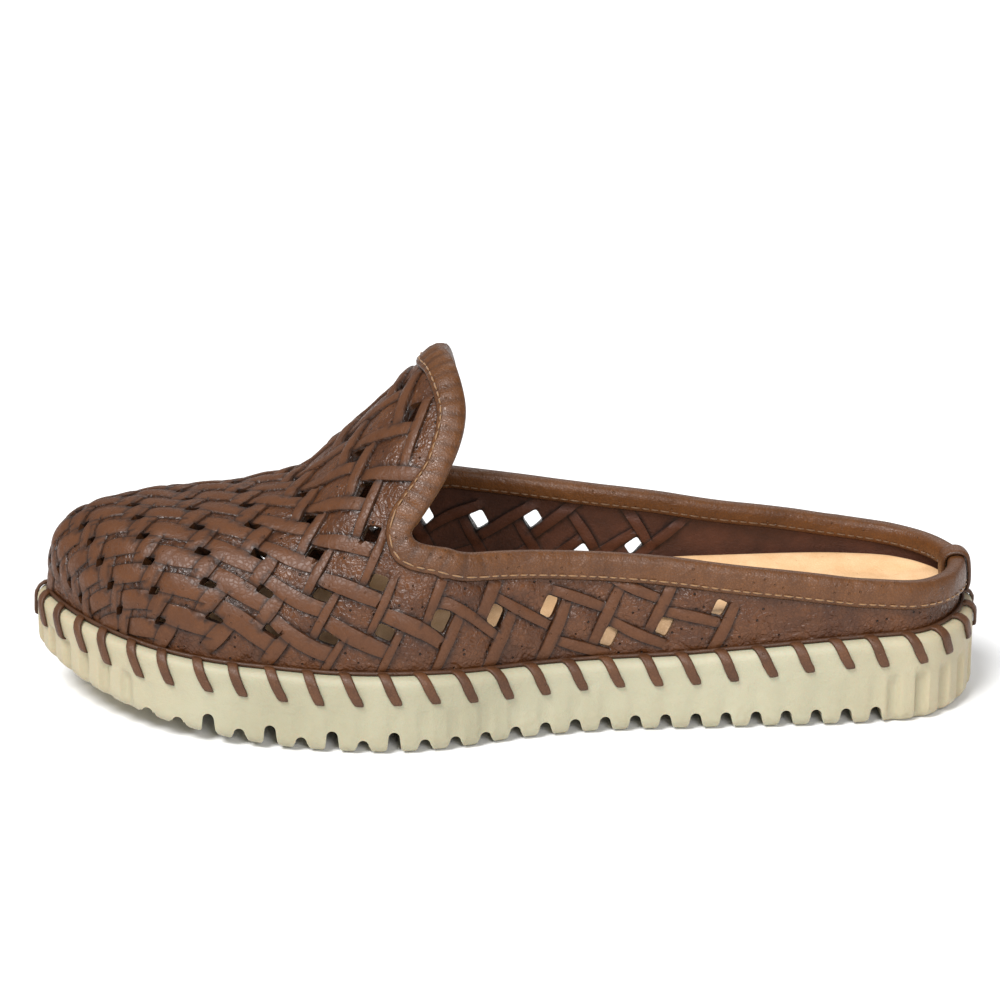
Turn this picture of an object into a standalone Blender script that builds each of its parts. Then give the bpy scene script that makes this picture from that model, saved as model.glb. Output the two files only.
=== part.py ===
# Flat mule for the left foot: a woven leather upper on a toothed cup sole.
# Metres, +Z up. The toe points to -X and the outer side of the foot to -Y.
# The origin lies on the floor under the middle of the shoe.
import math

import bmesh
import bpy
import numpy as np
from mathutils.geometry import delaunay_2d_cdt

mm = 0.001

# Driving sizes of the whole shoe
shoe_length = 265 * mm
ball_width = 95 * mm
waist_width = 66 * mm
heel_width = 65 * mm
heel_inset = 2 * mm            # how far the heel's middle lies toward the outer side
toe_spring = 13 * mm
heel_lift = 2 * mm

# Sole
heel_side_height = 24.6 * mm
waist_side_height = 20.8 * mm
ball_side_height = 21.8 * mm
toe_side_height = 16 * mm
rim_width = 3.6 * mm
rim_round = 2.6 * mm
foot_round = 3.2 * mm
cup_depth = 6 * mm
tooth_pitch = 8.39 * mm
first_groove_share = 0.8815
last_groove_share = 0.122
flex_grooves = (2, 4, 6, 8)
groove_width = 3.1 * mm
groove_flare = 0.5 * mm
groove_depth = 4.6 * mm
flex_groove_depth = 6.4 * mm
flute_depth = 1 * mm

# Upper
instep_height = 99.5 * mm      # top of the vamp's peak above the floor
toe_box_height = 56.6 * mm
wall = 1.8 * mm
foot_depth = 2.5 * mm          # how far the wall reaches down into the cup
strap_width = 2.7 * mm
strap_rise = 0.9 * mm
strap_gap = 0.35 * mm
weave_pitch = 15.15 * mm
weave_lean = 1.5 * mm          # a column's shift toward the heel from row to row
weave_margin = 2.4 * mm        # plain leather above the foot of the wall
collar_margin = 6.9 * mm        # plain leather below the collar
topline_heel_height = 37 * mm
topline_outer_height = 52.5 * mm
topline_inner_height = 56.5 * mm

# Footbed
footbed_heel_height = 31.2 * mm
footbed_ball_height = 26.5 * mm
footbed_toe_height = 21.5 * mm
footbed_dish = 2.6 * mm
footbed_edge_round = 1.2 * mm
footbed_clearance = 0.5 * mm

# Binding, heel strip and lacing
leather = 1.2 * mm
binding_outer_flap = 6.2 * mm
binding_inner_flap = 4.2 * mm
heel_strip_width = 7.5 * mm
stitch_count = 58
lace_width = 3 * mm
lace_thickness = 0.9 * mm
stitch_drop = 7.8 * mm
stitch_slant = -4.2 * mm      # toward the heel on the outer side

fit_gap = 0.3 * mm
binding_gap = 0.45 * mm

half_width = {"ball": ball_width / 2, "waist": waist_width / 2, "heel": heel_width / 2}

# The sole's outline, from the back of the heel along the outer side to the toe and back.
# Columns: share of the length from the heel, width that the point follows, share of half that width
outline_rows = (
    (0.000, "heel", 0.00), (0.017, "heel", -0.52), (0.062, "heel", -0.89), (0.130, "heel", -1.00),
    (0.279, "waist", -1.07), (0.411, "waist", -1.08), (0.498, "ball", -0.835), (0.558, "ball", -0.945),
    (0.622, "ball", -1.00), (0.713, "ball", -0.935), (0.808, "ball", -0.79), (0.883, "ball", -0.59),
    (0.943, "ball", -0.30), (0.981, "ball", 0.00), (1.000, "ball", 0.27), (0.991, "ball", 0.49),
    (0.957, "ball", 0.68), (0.900, "ball", 0.85), (0.808, "ball", 0.965), (0.713, "ball", 1.00),
    (0.618, "ball", 0.915), (0.505, "waist", 1.06), (0.391, "waist", 0.90), (0.279, "waist", 0.88),
    (0.130, "heel", 1.00), (0.062, "heel", 0.89), (0.017, "heel", 0.52),
)
outline_steps = 24

side_height = {"heel": heel_side_height, "waist": waist_side_height,
               "ball": ball_side_height, "toe": toe_side_height}

# Height of the sole's side above its own underside.
# Columns: share of the length, height that it follows, share of that height
side_rows = (
    (0.00, "heel", 1.02), (0.13, "heel", 1.00), (0.26, "heel", 0.91), (0.37, "waist", 1.00),
    (0.50, "waist", 0.99), (0.62, "ball", 1.00), (0.73, "ball", 1.00), (0.83, "ball", 0.93),
    (0.93, "toe", 1.14), (1.00, "toe", 1.00),
)

# Columns: share of the length, share of the climb from the toe box to the vamp's peak
ridge_rows = (
    (0.000, 1.02), (0.545, 1.02), (0.568, 1.00), (0.583, 0.94), (0.614, 0.755), (0.646, 0.555),
    (0.676, 0.375), (0.704, 0.215), (0.738, 0.110), (0.802, 0.040), (0.864, 0.000), (1.000, 0.000),
)

# Columns: share of the length, sideways place of the ridge as a share of half the ball width
spine_rows = ((0.00, -0.04), (0.13, -0.04), (0.40, 0.02), (0.56, 0.085), (0.72, 0.105), (0.864, 0.126), (1.00, 0.126))

# Columns: share of the length, squareness of the cross section (2 is an ellipse)
squareness_rows = ((0.0, 1.9), (0.45, 1.95), (0.56, 1.95), (0.65, 2.05), (0.72, 2.25), (0.80, 2.5), (0.864, 2.75), (1.0, 2.9))

# The throat, from the peak down the outer side. The inner side mirrors it.
# Columns: share of the length, share of the girth from the ridge to the sole
throat_rows = (
    (0.5705, 0.000), (0.5635, 0.060), (0.5587, 0.130), (0.5537, 0.210), (0.5517, 0.265), (0.5555, 0.328),
    (0.5640, 0.390), (0.5760, 0.453), (0.5915, 0.504), (0.6040, 0.540), (0.6130, 0.568), (0.6135, 0.600),
    (0.6035, 0.630), (0.5840, 0.654),
)

# Columns: share of the length, share of the climb from the heel's topline to the side's topline
topline_rows = (
    (0.00, 0.00), (0.06, 0.03), (0.12, 0.13), (0.20, 0.33), (0.27, 0.48), (0.34, 0.66), (0.42, 0.80),
    (0.50, 0.92), (0.58, 1.00),
)

footbed_height = {"heel": footbed_heel_height, "ball": footbed_ball_height, "toe": footbed_toe_height}

# Height of the footbed's edge above the underside. Columns as for the side of the sole
footbed_rows = (
    (0.00, "heel", 0.95), (0.08, "heel", 0.99), (0.28, "heel", 1.02), (0.42, "heel", 0.96), (0.62, "ball", 1.00),
    (0.80, "ball", 0.95), (1.00, "toe", 1.00),
)

# How the weave's rows close up. Columns: share of the length, row step as a share of the girth
weave_rows = (
    (0.28, 0.1365), (0.34, 0.1455), (0.41, 0.150), (0.47, 0.159), (0.58, 0.163), (0.68, 0.165),
    (0.75, 0.160), (0.82, 0.150), (1.00, 0.153),
)
weave_start = 0.7057           # share of the length at the column numbered nought
weave_first_column = -6
weave_last_column = 7
weave_first_row = -6
weave_last_row = 6
weave_row_phase = 0.25
down_strap_offset = 0.376      # of a row, above its gap at the start and below the next at the end
up_strap_offset = 0.284        # of a pitch, right of its gap at the top and left of the next below
smallest_gap = 3.5 * mm ** 2
shortest_edge = 0.9 * mm
weave_end_share = 0.265
weave_reach_share = 0.84

# Depth of the grooves. Columns: share of the length, share of the usual depth
groove_rows = ((0.10, 1.13), (0.25, 1.10), (0.45, 1.00), (0.55, 0.87), (0.80, 0.87), (0.84, 0.70), (0.88, 0.60))

# Spacing of the points round each piece
sole_fine_step = 2.4 * mm
sole_coarse_step = 9 * mm
insole_fine_step = 8 * mm
insole_coarse_step = 14 * mm
upper_fine_step = 4.4 * mm
upper_coarse_step = 8 * mm
plain_step = 9 * mm
fine_heel_share = 0.12
fine_toe_share = 0.88
flute_fade = 0.03

spring_start = 0.672
heel_lift_end = 0.09
toe_pole_share = 0.864
heel_pole_share = 0.13
toe_slope = 0.13


def along(share):
    return shoe_length * (0.5 - share)


def share_at(x):
    return 0.5 - np.asarray(x, float) / shoe_length


def smooth_table(rows):
    """A rising or falling curve without overshoot through rows of (place, value)."""
    place, value = np.array(rows, float).T
    rise = np.diff(value) / np.diff(place)
    slope = np.concatenate([rise[:1], np.zeros(len(rise) - 1), rise[-1:]])
    for i in range(1, len(rise)):
        if rise[i - 1] * rise[i] > 0:
            slope[i] = 2 * rise[i - 1] * rise[i] / (rise[i - 1] + rise[i])

    def read(at):
        at = np.clip(np.asarray(at, float), place[0], place[-1])
        i = np.clip(np.searchsorted(place, at) - 1, 0, len(place) - 2)
        width = place[i + 1] - place[i]
        s = (at - place[i]) / width
        start = (2 * s ** 3 - 3 * s ** 2 + 1) * value[i] + (s ** 3 - 2 * s ** 2 + s) * width * slope[i]
        end = (3 * s ** 2 - 2 * s ** 3) * value[i + 1] + (s ** 3 - s ** 2) * width * slope[i + 1]
        return start + end

    return read


def closed_curve(points, steps):
    """A smooth closed line through the points, with the same number of steps between each pair."""
    points = np.asarray(points, float)
    count = len(points)
    line = []
    for i in range(count):
        a, b, c, d = (points[(i + k) % count] for k in (-1, 0, 1, 2))
        ab, bc, cd = (math.dist(*pair) ** 0.5 for pair in ((a, b), (b, c), (c, d)))
        leave = (c - b) + bc * ((b - a) / ab - (c - a) / (ab + bc))
        arrive = (c - b) + bc * ((d - c) / cd - (d - b) / (bc + cd))
        for k in range(steps):
            s = k / steps
            line.append((2 * s ** 3 - 3 * s ** 2 + 1) * b + (s ** 3 - 2 * s ** 2 + s) * leave
                        + (3 * s ** 2 - 2 * s ** 3) * c + (s ** 3 - s ** 2) * arrive)
    return np.array(line)


def evenly(line, count, closed=True):
    """The line read again at even distances."""
    if closed:
        line = np.vstack([line, line[:1]])
    walked = np.concatenate([[0], np.cumsum(np.linalg.norm(np.diff(line, axis=0), axis=1))])
    at = np.linspace(0, walked[-1], count, endpoint=not closed)
    return np.stack([np.interp(at, walked, line[:, k]) for k in range(line.shape[1])], 1)


def inset_line(line, distance):
    """The closed flat line moved inward."""
    ahead = np.roll(line, -1, 0) - np.roll(line, 1, 0)
    ahead /= np.linalg.norm(ahead, axis=1)[:, None]
    inward = np.stack([ahead[:, 1], -ahead[:, 0]], 1)
    return line + np.asarray(distance).reshape(-1, 1) * inward


def outline_points():
    points = []
    for share, name, side in outline_rows:
        shift = -heel_inset if name == "heel" else 0
        points.append((along(share), half_width[name] * side + shift))
    return points


outline = closed_curve(outline_points(), outline_steps)
side_table = smooth_table([(share, side_height[name] * part) for share, name, part in side_rows])
footbed_table = smooth_table([(share, footbed_height[name] * part) for share, name, part in footbed_rows])
climb = instep_height - toe_box_height
ridge_table = smooth_table([(share, toe_box_height + climb * part) for share, part in ridge_rows])
spine_table = smooth_table([(share, half_width["ball"] * part) for share, part in spine_rows])
squareness_table = smooth_table(squareness_rows)
topline_table = smooth_table(topline_rows)
weave_table = smooth_table(weave_rows)
groove_table = smooth_table(groove_rows)
toe_pole = along(toe_pole_share)
heel_pole = along(heel_pole_share)


def underside(x):
    """Height of the sole's underside: toe spring, flat tread and a slight lift at the heel."""
    share = share_at(x)
    toe = np.clip(share - spring_start, 0, None) / (1 - spring_start)
    heel = np.clip(heel_lift_end - share, 0, None) / heel_lift_end
    return toe_spring * toe ** 2 + heel_lift * heel ** 2


def rim_top(x):
    return underside(x) + side_table(share_at(x))


# The last's surface is read in flat coordinates. p runs along the shoe and q over the ridge, both as
# distances on the leather, and q is below zero on the outer side. Toe and heel are fans round a pole.

foot_line = inset_line(outline, rim_width + fit_gap)


def side_lines():
    toe = int(np.argmin(foot_line[:, 0]))
    outer = foot_line[:toe + 1][::-1]
    inner = np.vstack([foot_line[toe:], foot_line[:1]])
    return outer, inner


def fan(pole, ahead):
    """Distance from a pole to the foot line by direction. ahead is -1 at the toe and 1 at the heel."""
    arm = foot_line - np.array([pole, float(spine_table(share_at(pole)))])
    angle = np.arctan2(arm[:, 1], ahead * arm[:, 0])
    order = np.argsort(angle)
    return angle[order], np.hypot(arm[:, 0], arm[:, 1])[order]


outer_side, inner_side = side_lines()
toe_fan = fan(toe_pole, -1)
heel_fan = fan(heel_pole, 1)
arc_steps = 48


def sections(p, q):
    """For each flat point: its section's base, direction, reach, foot height, ridge height and squareness."""
    p = np.asarray(p, float)
    q = np.asarray(q, float)
    base = np.clip(p, toe_pole, heel_pole)
    middle = spine_table(share_at(base))
    distance = np.maximum(np.hypot(p - base, q), 1e-9)
    east = (p - base) / distance
    north = np.where(distance < 2e-9, 1.0, q / distance)
    outer = middle - np.interp(base, outer_side[:, 0], outer_side[:, 1])
    inner = np.interp(base, inner_side[:, 0], inner_side[:, 1]) - middle
    reach = np.where(q < 0, outer, inner)
    reach = np.where(p < toe_pole, np.interp(np.arctan2(north, -east), *toe_fan), reach)
    reach = np.where(p > heel_pole, np.interp(np.arctan2(north, east), *heel_fan), reach)
    foot = rim_top(base + east * reach)
    top = ridge_table(share_at(base))
    square = squareness_table(share_at(base + east * reach))
    return base, middle, east, north, distance, reach, foot, top, square


def arch(reach, foot, top, square):
    """Each section as a row of points from the ridge to the foot, with the distance walked."""
    turn = np.linspace(0, math.pi / 2, arc_steps)[None]
    power = (2 / square)[:, None]
    out = reach[:, None] * np.sin(turn) ** power
    up = (top - foot)[:, None] * np.cos(turn) ** power
    step = np.hypot(np.diff(out, axis=1), np.diff(up, axis=1))
    walked = np.concatenate([np.zeros((len(reach), 1)), np.cumsum(step, 1)], 1)
    return out, up, walked


def girth(p, q):
    base, middle, east, north, distance, reach, foot, top, square = sections(p, q)
    return arch(reach, foot, top, square)[2][:, -1]


def last_point(p, q):
    """The flat point on the last. Past the foot it goes straight down into the cup."""
    base, middle, east, north, distance, reach, foot, top, square = sections(p, q)
    out, up, walked = arch(reach, foot, top, square)
    total = walked[:, -1]
    on = np.minimum(distance, total)
    k = np.clip((walked < on[:, None]).sum(1) - 1, 0, arc_steps - 2)
    row = np.arange(len(on))
    s = (on - walked[row, k]) / np.maximum(walked[row, k + 1] - walked[row, k], 1e-12)
    plan = out[row, k] * (1 - s) + out[row, k + 1] * s
    height = up[row, k] * (1 - s) + up[row, k + 1] * s
    tilt = toe_slope * np.clip(-east, 0, 1) * plan * (1 - plan / reach)
    drop = np.maximum(distance - total, 0)
    return np.stack([base + east * plan, middle + north * plan, foot + height - tilt - drop], 1)


def last_normal(p, q, step=0.4 * mm):
    p = np.asarray(p, float)
    q = np.asarray(q, float)
    along_p = last_point(p + step, q) - last_point(p - step, q)
    along_q = last_point(p, q + step) - last_point(p, q - step)
    normal = np.cross(along_p, along_q)
    return normal / np.linalg.norm(normal, axis=1)[:, None]


def lift_off(flat, height):
    """Flat points placed at a height above the last's surface."""
    flat = np.asarray(flat, float)
    return last_point(flat[:, 0], flat[:, 1]) + height * last_normal(flat[:, 0], flat[:, 1])


def flat_of_foot(places, extra=0.0):
    """Flat coordinates of points of the foot line, plus a distance down the wall."""
    base = np.clip(places[:, 0], toe_pole, heel_pole)
    arm = np.stack([places[:, 0] - base, places[:, 1] - spine_table(share_at(base))], 1)
    arm /= np.linalg.norm(arm, axis=1)[:, None]
    at = np.stack([base, np.zeros(len(base))], 1) + arm * mm
    return np.stack([base, np.zeros(len(base))], 1) + arm * (girth(at[:, 0], at[:, 1]) + extra)[:, None]


def flat_of_height(places, height):
    """Flat coordinates on the wall above points of the foot line, at a height over the floor."""
    base = np.clip(places[:, 0], toe_pole, heel_pole)
    arm = np.stack([places[:, 0] - base, places[:, 1] - spine_table(share_at(base))], 1)
    arm /= np.linalg.norm(arm, axis=1)[:, None]
    at = np.stack([base, np.zeros(len(base))], 1) + arm * mm
    section = sections(at[:, 0], at[:, 1])
    out, up, walked = arch(*section[5:])
    wanted = height - section[6]
    walk = np.array([np.interp(-w, -u, d) for w, u, d in zip(wanted, up, walked)])
    return np.stack([base, np.zeros(len(base))], 1) + arm * walk[:, None]


def collar_line():
    """The collar's edge in flat coordinates: the throat, the outer side, the heel and the inner side."""
    shares = np.array([row[0] for row in throat_rows])
    parts = np.array([row[1] for row in throat_rows])
    throat = []
    for side in (-1, 1):
        x = along(shares)
        throat.append(np.stack([x, side * parts * girth(x, np.full(len(x), side * mm))], 1))
    outer_end, inner_end = throat[0][-1, 0], throat[1][-1, 0]
    toe = int(np.argmin(foot_line[:, 0]))
    order = np.arange(len(foot_line))
    outer_wall = foot_line[(order < toe) & (foot_line[:, 0] > outer_end + 6 * mm)][::-1]
    inner_wall = foot_line[(order > toe) & (foot_line[:, 0] > inner_end + 6 * mm)]
    walls = []
    for places, height in ((outer_wall, topline_outer_height), (inner_wall, topline_inner_height)):
        rise = topline_heel_height + (height - topline_heel_height) * topline_table(share_at(places[:, 0]))
        walls.append(flat_of_height(places, rise))
    # from the peak down the outer side, round the heel and back up the inner side
    loop = np.vstack([throat[0], walls[0], walls[1][::-1], throat[1][::-1][:-1]])
    return loop


def walked_on_last(flat):
    """Distance along the leather at each point of a closed flat line."""
    places = last_point(flat[:, 0], flat[:, 1])
    places = np.vstack([places, places[:1]])
    return np.concatenate([[0], np.cumsum(np.linalg.norm(np.diff(places, axis=0), axis=1))])


def evenly_on_last(flat, count):
    """A closed flat line read again at even distances on the leather."""
    walked = walked_on_last(flat)
    ring = np.vstack([flat, flat[:1]])
    at = np.linspace(0, walked[-1], count, endpoint=False)
    return np.stack([np.interp(at, walked, ring[:, 0]), np.interp(at, walked, ring[:, 1])], 1)


def soften(line, rounds):
    """A closed line with its small corners relaxed."""
    for _ in range(rounds):
        line = 0.5 * line + 0.25 * (np.roll(line, 1, 0) + np.roll(line, -1, 0))
    return line


collar_stations = 92
collar = evenly_on_last(soften(evenly_on_last(collar_line(), 360), 6), collar_stations)


# Weave. A gap lies at each node of a grid of columns and rows. A down strap runs from above each gap
# to below the next toward the heel, and an up strap from right of each gap to left of the one below.

def weave_point(column, row):
    """The grid's node in flat coordinates. Rows count from the ridge toward the outer side."""
    p = along(weave_start) + weave_pitch * column + weave_lean * (row - 3)
    side = -1 if row > 0 else 1
    reach = girth([max(p, along(weave_reach_share))], [side * mm])[0]
    return np.array([p, -row * float(weave_table(share_at(p))) * reach])


def down_strap_line(column, row):
    return (weave_point(column, row - down_strap_offset), weave_point(column + 1, row + down_strap_offset))


def up_strap_line(column, row):
    return (weave_point(column + up_strap_offset, row), weave_point(column - up_strap_offset, row + 1))


def shifted(line, distance):
    """The line moved to its left, as a point and a direction."""
    start, end = line
    ahead = (end - start) / np.linalg.norm(end - start)
    return start + distance * np.array([-ahead[1], ahead[0]]), ahead


def crossing(first, second):
    (a, u), (b, v) = first, second
    return a + u * ((b[0] - a[0]) * v[1] - (b[1] - a[1]) * v[0]) / (u[0] * v[1] - u[1] * v[0])


def patch(above, right, below, left):
    """The four-sided patch between four lines."""
    return np.array([crossing(left, above), crossing(above, right), crossing(right, below), crossing(below, left)])


def weave_gap(column, row):
    off = strap_width / 2 + strap_gap
    return patch(shifted(down_strap_line(column, row), -off), shifted(up_strap_line(column, row), -off),
                 shifted(down_strap_line(column - 1, row), off), shifted(up_strap_line(column, row - 1), off))


def down_strap(column, row):
    off = strap_width / 2 + strap_gap
    line = down_strap_line(column, row)
    return patch(shifted(line, strap_width / 2), shifted(up_strap_line(column + 1, row), -off),
                 shifted(line, -strap_width / 2), shifted(up_strap_line(column, row - 1), off))


def up_strap(column, row):
    off = strap_width / 2 + strap_gap
    line = up_strap_line(column, row)
    return patch(shifted(down_strap_line(column, row), -off), shifted(line, strap_width / 2),
                 shifted(down_strap_line(column - 1, row + 1), off), shifted(line, -strap_width / 2))


def area_of(corners):
    x, y = corners.T
    return 0.5 * abs(np.dot(x, np.roll(y, -1)) - np.dot(y, np.roll(x, -1)))


def inside(points, loop):
    """Which of the flat points lie inside the closed loop."""
    points = np.atleast_2d(points)
    x, y = points[:, 0], points[:, 1]
    found = np.zeros(len(points), bool)
    for (ax, ay), (bx, by) in zip(loop, np.roll(loop, -1, 0)):
        between = (ay > y) != (by > y)
        if ay != by:
            found ^= between & (x < (bx - ax) * (y - ay) / (by - ay) + ax)
    return found


def above_foot(flat):
    """Distance on the leather from flat points down to the foot of the wall."""
    base = np.clip(flat[:, 0], toe_pole, heel_pole)
    return girth(flat[:, 0], flat[:, 1]) - np.hypot(flat[:, 0] - base, flat[:, 1])


def on_weave(corners, foot_room, collar_room):
    """Whether a patch lies wholly on the woven leather."""
    mids = 0.5 * (corners + np.roll(corners, -1, 0))
    test = np.vstack([corners, mids])
    edges = np.linalg.norm(corners - np.roll(corners, -1, 0), axis=1)
    if edges.min() < shortest_edge or test[:, 0].max() > along(weave_end_share):
        return False
    if inside(test, collar).any() or above_foot(test).min() < foot_room:
        return False
    ring = evenly(collar, 6 * collar_stations)
    nearest = min(np.linalg.norm(ring - point, axis=1).min() for point in test)
    return nearest > collar_room


def weave_patches():
    gaps, straps = [], []
    for column in range(weave_first_column, weave_last_column + 1):
        for row in np.arange(weave_first_row, weave_last_row + 1) + weave_row_phase:
            gap = weave_gap(column, row)
            if area_of(gap) > smallest_gap and on_weave(gap, weave_margin, collar_margin):
                gaps.append(gap)
            for strap in (down_strap(column, row), up_strap(column, row)):
                if on_weave(strap, weave_margin, collar_margin + strap_rise + fit_gap):
                    straps.append(strap)
    return gaps, straps


# Meshes

def leather_material(name, colour, roughness):
    material = bpy.data.materials.new(name)
    material.use_nodes = True
    shader = material.node_tree.nodes["Principled BSDF"]
    shader.inputs["Base Color"].default_value = (*colour, 1.0)
    shader.inputs["Roughness"].default_value = roughness
    shader.inputs["Metallic"].default_value = 0.0
    return material


def mesh_object(name, places, faces, material, collection):
    mesh = bpy.data.meshes.new(name)
    mesh.from_pydata([tuple(map(float, place)) for place in places], [], faces)
    working = bmesh.new()
    working.from_mesh(mesh)
    bmesh.ops.recalc_face_normals(working, faces=working.faces)
    working.to_mesh(mesh)
    working.free()
    mesh.materials.append(material)
    piece = bpy.data.objects.new(name, mesh)
    collection.objects.link(piece)
    return piece


def band(first, second, count, closed=True):
    """Faces between two rings whose points start at the given numbers."""
    steps = count if closed else count - 1
    return [(first + i, first + (i + 1) % count, second + (i + 1) % count, second + i) for i in range(steps)]


def ladder(start, count):
    """Faces across a ring whose first point is at the heel's back and whose middle point is at the toe."""
    half = count // 2
    faces = [(start, start + 1, start + count - 1)]
    faces += [(start + i, start + i + 1, start + count - i - 1, start + count - i) for i in range(1, half - 1)]
    faces.append((start + half - 1, start + half, start + half + 1))
    return faces


def ring_stack(rings):
    """A closed solid from rings of equal count, with a ladder across the first and the last."""
    count = len(rings[0])
    faces = ladder(0, count) + ladder((len(rings) - 1) * count, count)
    for i in range(len(rings) - 1):
        faces += band(i * count, (i + 1) * count, count)
    return np.vstack(rings), faces


def stations(fine, coarse):
    """Numbers of outline points, closer together round the toe and the heel."""
    toe = int(np.argmin(outline[:, 0]))
    halves = (np.arange(0, toe + 1), np.concatenate([np.arange(toe, len(outline)), [0]]))
    picks = []
    count = None
    for half in halves:
        line = outline[half]
        length = np.linalg.norm(np.diff(line, axis=0), axis=1)
        share = share_at(0.5 * (line[1:, 0] + line[:-1, 0]))
        step = np.where((share < fine_heel_share) | (share > fine_toe_share), fine, coarse)
        walked = np.concatenate([[0], np.cumsum(length / step)])
        count = count or int(round(walked[-1]))
        wanted = np.linspace(0, walked[-1], count + 1)
        nearest = [int(np.argmin(abs(walked - place))) for place in wanted]
        picks.append(half[nearest][:-1])
    return np.concatenate(picks)


def ring_at(numbers, inset, height):
    """A ring of the outline moved inward, at the heights given by a function of x."""
    flat = inset_line(outline, inset)[numbers]
    return np.column_stack([flat, height(flat[:, 0])])


def flute_inset(depth):
    """Soft upright flutes round the toe and the heel, as an inset for each outline point."""
    walked = np.concatenate([[0], np.cumsum(np.linalg.norm(np.diff(outline, axis=0), axis=1))])
    share = share_at(outline[:, 0])
    toe = np.clip((share - first_groove_share) / flute_fade, 0, 1)
    heel = np.clip((last_groove_share - share) / flute_fade, 0, 1)
    return depth * np.maximum(toe, heel) * 0.5 * (1 - np.cos(2 * math.pi * walked / tooth_pitch))


def make_outsole(collection, material):
    numbers = stations(sole_fine_step, sole_coarse_step)
    half_round = 1 - math.sqrt(0.5)
    # Columns: inset, share of the flutes' depth, height above the underside or the rim's top
    rows = (
        (foot_round, 0.0, 0.0, underside),
        (foot_round * half_round, 0.6, foot_round * half_round, underside),
        (0.0, 1.0, foot_round, underside),
        (0.0, 1.0, -0.62 * ball_side_height, rim_top),
        (0.0, 0.0, -rim_round - 3 * mm, rim_top),
        (0.0, 0.0, -rim_round, rim_top),
        (rim_round * half_round, 0.0, -rim_round * half_round, rim_top),
        (rim_round, 0.0, 0.0, rim_top),
        (rim_width, 0.0, 0.0, rim_top),
        (rim_width, 0.0, -cup_depth, rim_top),
    )
    rings = []
    for inset, flutes, height, level in rows:
        rings.append(ring_at(numbers, inset + flute_inset(flutes * flute_depth),
                             lambda x, height=height, level=level: level(x) + height))
    places, faces = ring_stack(rings)
    return mesh_object("outsole", places, faces, material, collection)


def groove_places():
    first = along(first_groove_share)
    count = int(round((along(last_groove_share) - first) / tooth_pitch)) + 1
    return [first + k * tooth_pitch for k in range(count)]


def make_groove_cutters(collection, material):
    """Slots across the sole, round at the top and wider below. Some by the ball are deeper, where it flexes."""
    reach = ball_width / 2 + 8 * mm
    places, faces = [], []
    turn_steps = 4
    for number, x in enumerate(groove_places()):
        low = float(underside(x))
        deep = number in flex_grooves
        depth = flex_groove_depth if deep else groove_depth * float(groove_table(share_at(x)))
        radius = groove_width / 2
        outline_part = [(radius + groove_flare, -3 * mm), (radius + groove_flare, 0.0)]
        for k in range(turn_steps + 1):
            turn = math.pi * k / turn_steps
            outline_part.append((radius * math.cos(turn), depth - radius + radius * math.sin(turn)))
        outline_part += [(-radius - groove_flare, 0.0), (-radius - groove_flare, -3 * mm)]
        start, count = len(places), len(outline_part)
        for side in (-1, 1):
            places += [(x + dx, side * reach, low + dz) for dx, dz in outline_part]
        faces += band(start, start + count, count)
        faces += [tuple(range(start, start + count)), tuple(range(start + count, start + 2 * count))]
    cutter = mesh_object("groove_cutters", places, faces, material, collection)
    cutter.hide_render = True
    cutter.display_type = "WIRE"
    return cutter


def cut_grooves(outsole, cutter):
    cut = outsole.modifiers.new("grooves", "BOOLEAN")
    cut.operation = "DIFFERENCE"
    cut.object = cutter
    cut.solver = "EXACT"


def footbed_top(x):
    return underside(x) + footbed_table(share_at(x))


def make_insole(collection, material):
    numbers = stations(insole_fine_step, insole_coarse_step)
    edge = rim_width + 2 * fit_gap + wall + footbed_clearance
    # Columns: inset, height above the cup's floor or the footbed's edge
    rows = (
        (edge, fit_gap - cup_depth, rim_top),
        (edge, -footbed_edge_round, footbed_top),
        (edge + footbed_edge_round, 0.0, footbed_top),
        (edge + 5 * mm, -0.45 * footbed_dish, footbed_top),
        (edge + 12 * mm, -footbed_dish, footbed_top),
    )
    rings = [ring_at(numbers, inset, lambda x, height=height, level=level: level(x) + height)
             for inset, height, level in rows]
    places, faces = ring_stack(rings)
    return mesh_object("insole", places, faces, material, collection)


def key_of(point):
    return (round(float(point[0]) / mm, 3), round(float(point[1]) / mm, 3))


def triangulate(loops, patches, loose):
    """Triangles of the flat leather between its foot and its collar, in millimetres, with their middles."""
    points, edges = [], []
    for loop in list(loops) + list(patches):
        start, count = len(points), len(loop)
        points += [tuple(point / mm) for point in loop]
        edges += [(start + i, start + (i + 1) % count) for i in range(count)]
    points += [tuple(point / mm) for point in loose]
    found, _, triangles, *_ = delaunay_2d_cdt(points, edges, [], 0, 1e-4)
    flat = np.array([tuple(point) for point in found]) * mm
    triangles = np.array([tuple(t) for t in triangles])
    middle = flat[triangles].mean(1)
    keep = inside(middle, loops[0]) & ~inside(middle, loops[1])
    return flat, triangles[keep], middle[keep]


def beyond_collar(numbers, beyond):
    """Flat points at collar stations, moved beyond the collar's edge or back into the leather."""
    ahead = np.roll(collar, -1, 0) - np.roll(collar, 1, 0)
    ahead /= np.linalg.norm(ahead, axis=1)[:, None]
    opening = np.stack([-ahead[:, 1], ahead[:, 0]], 1)[numbers]
    edge = collar[numbers]
    step = 0.5 * mm
    stretch = np.linalg.norm(last_point(*(edge + step * opening).T) - last_point(*edge.T), axis=1) / step
    return edge + opening * (beyond / stretch)[:, None]


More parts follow.
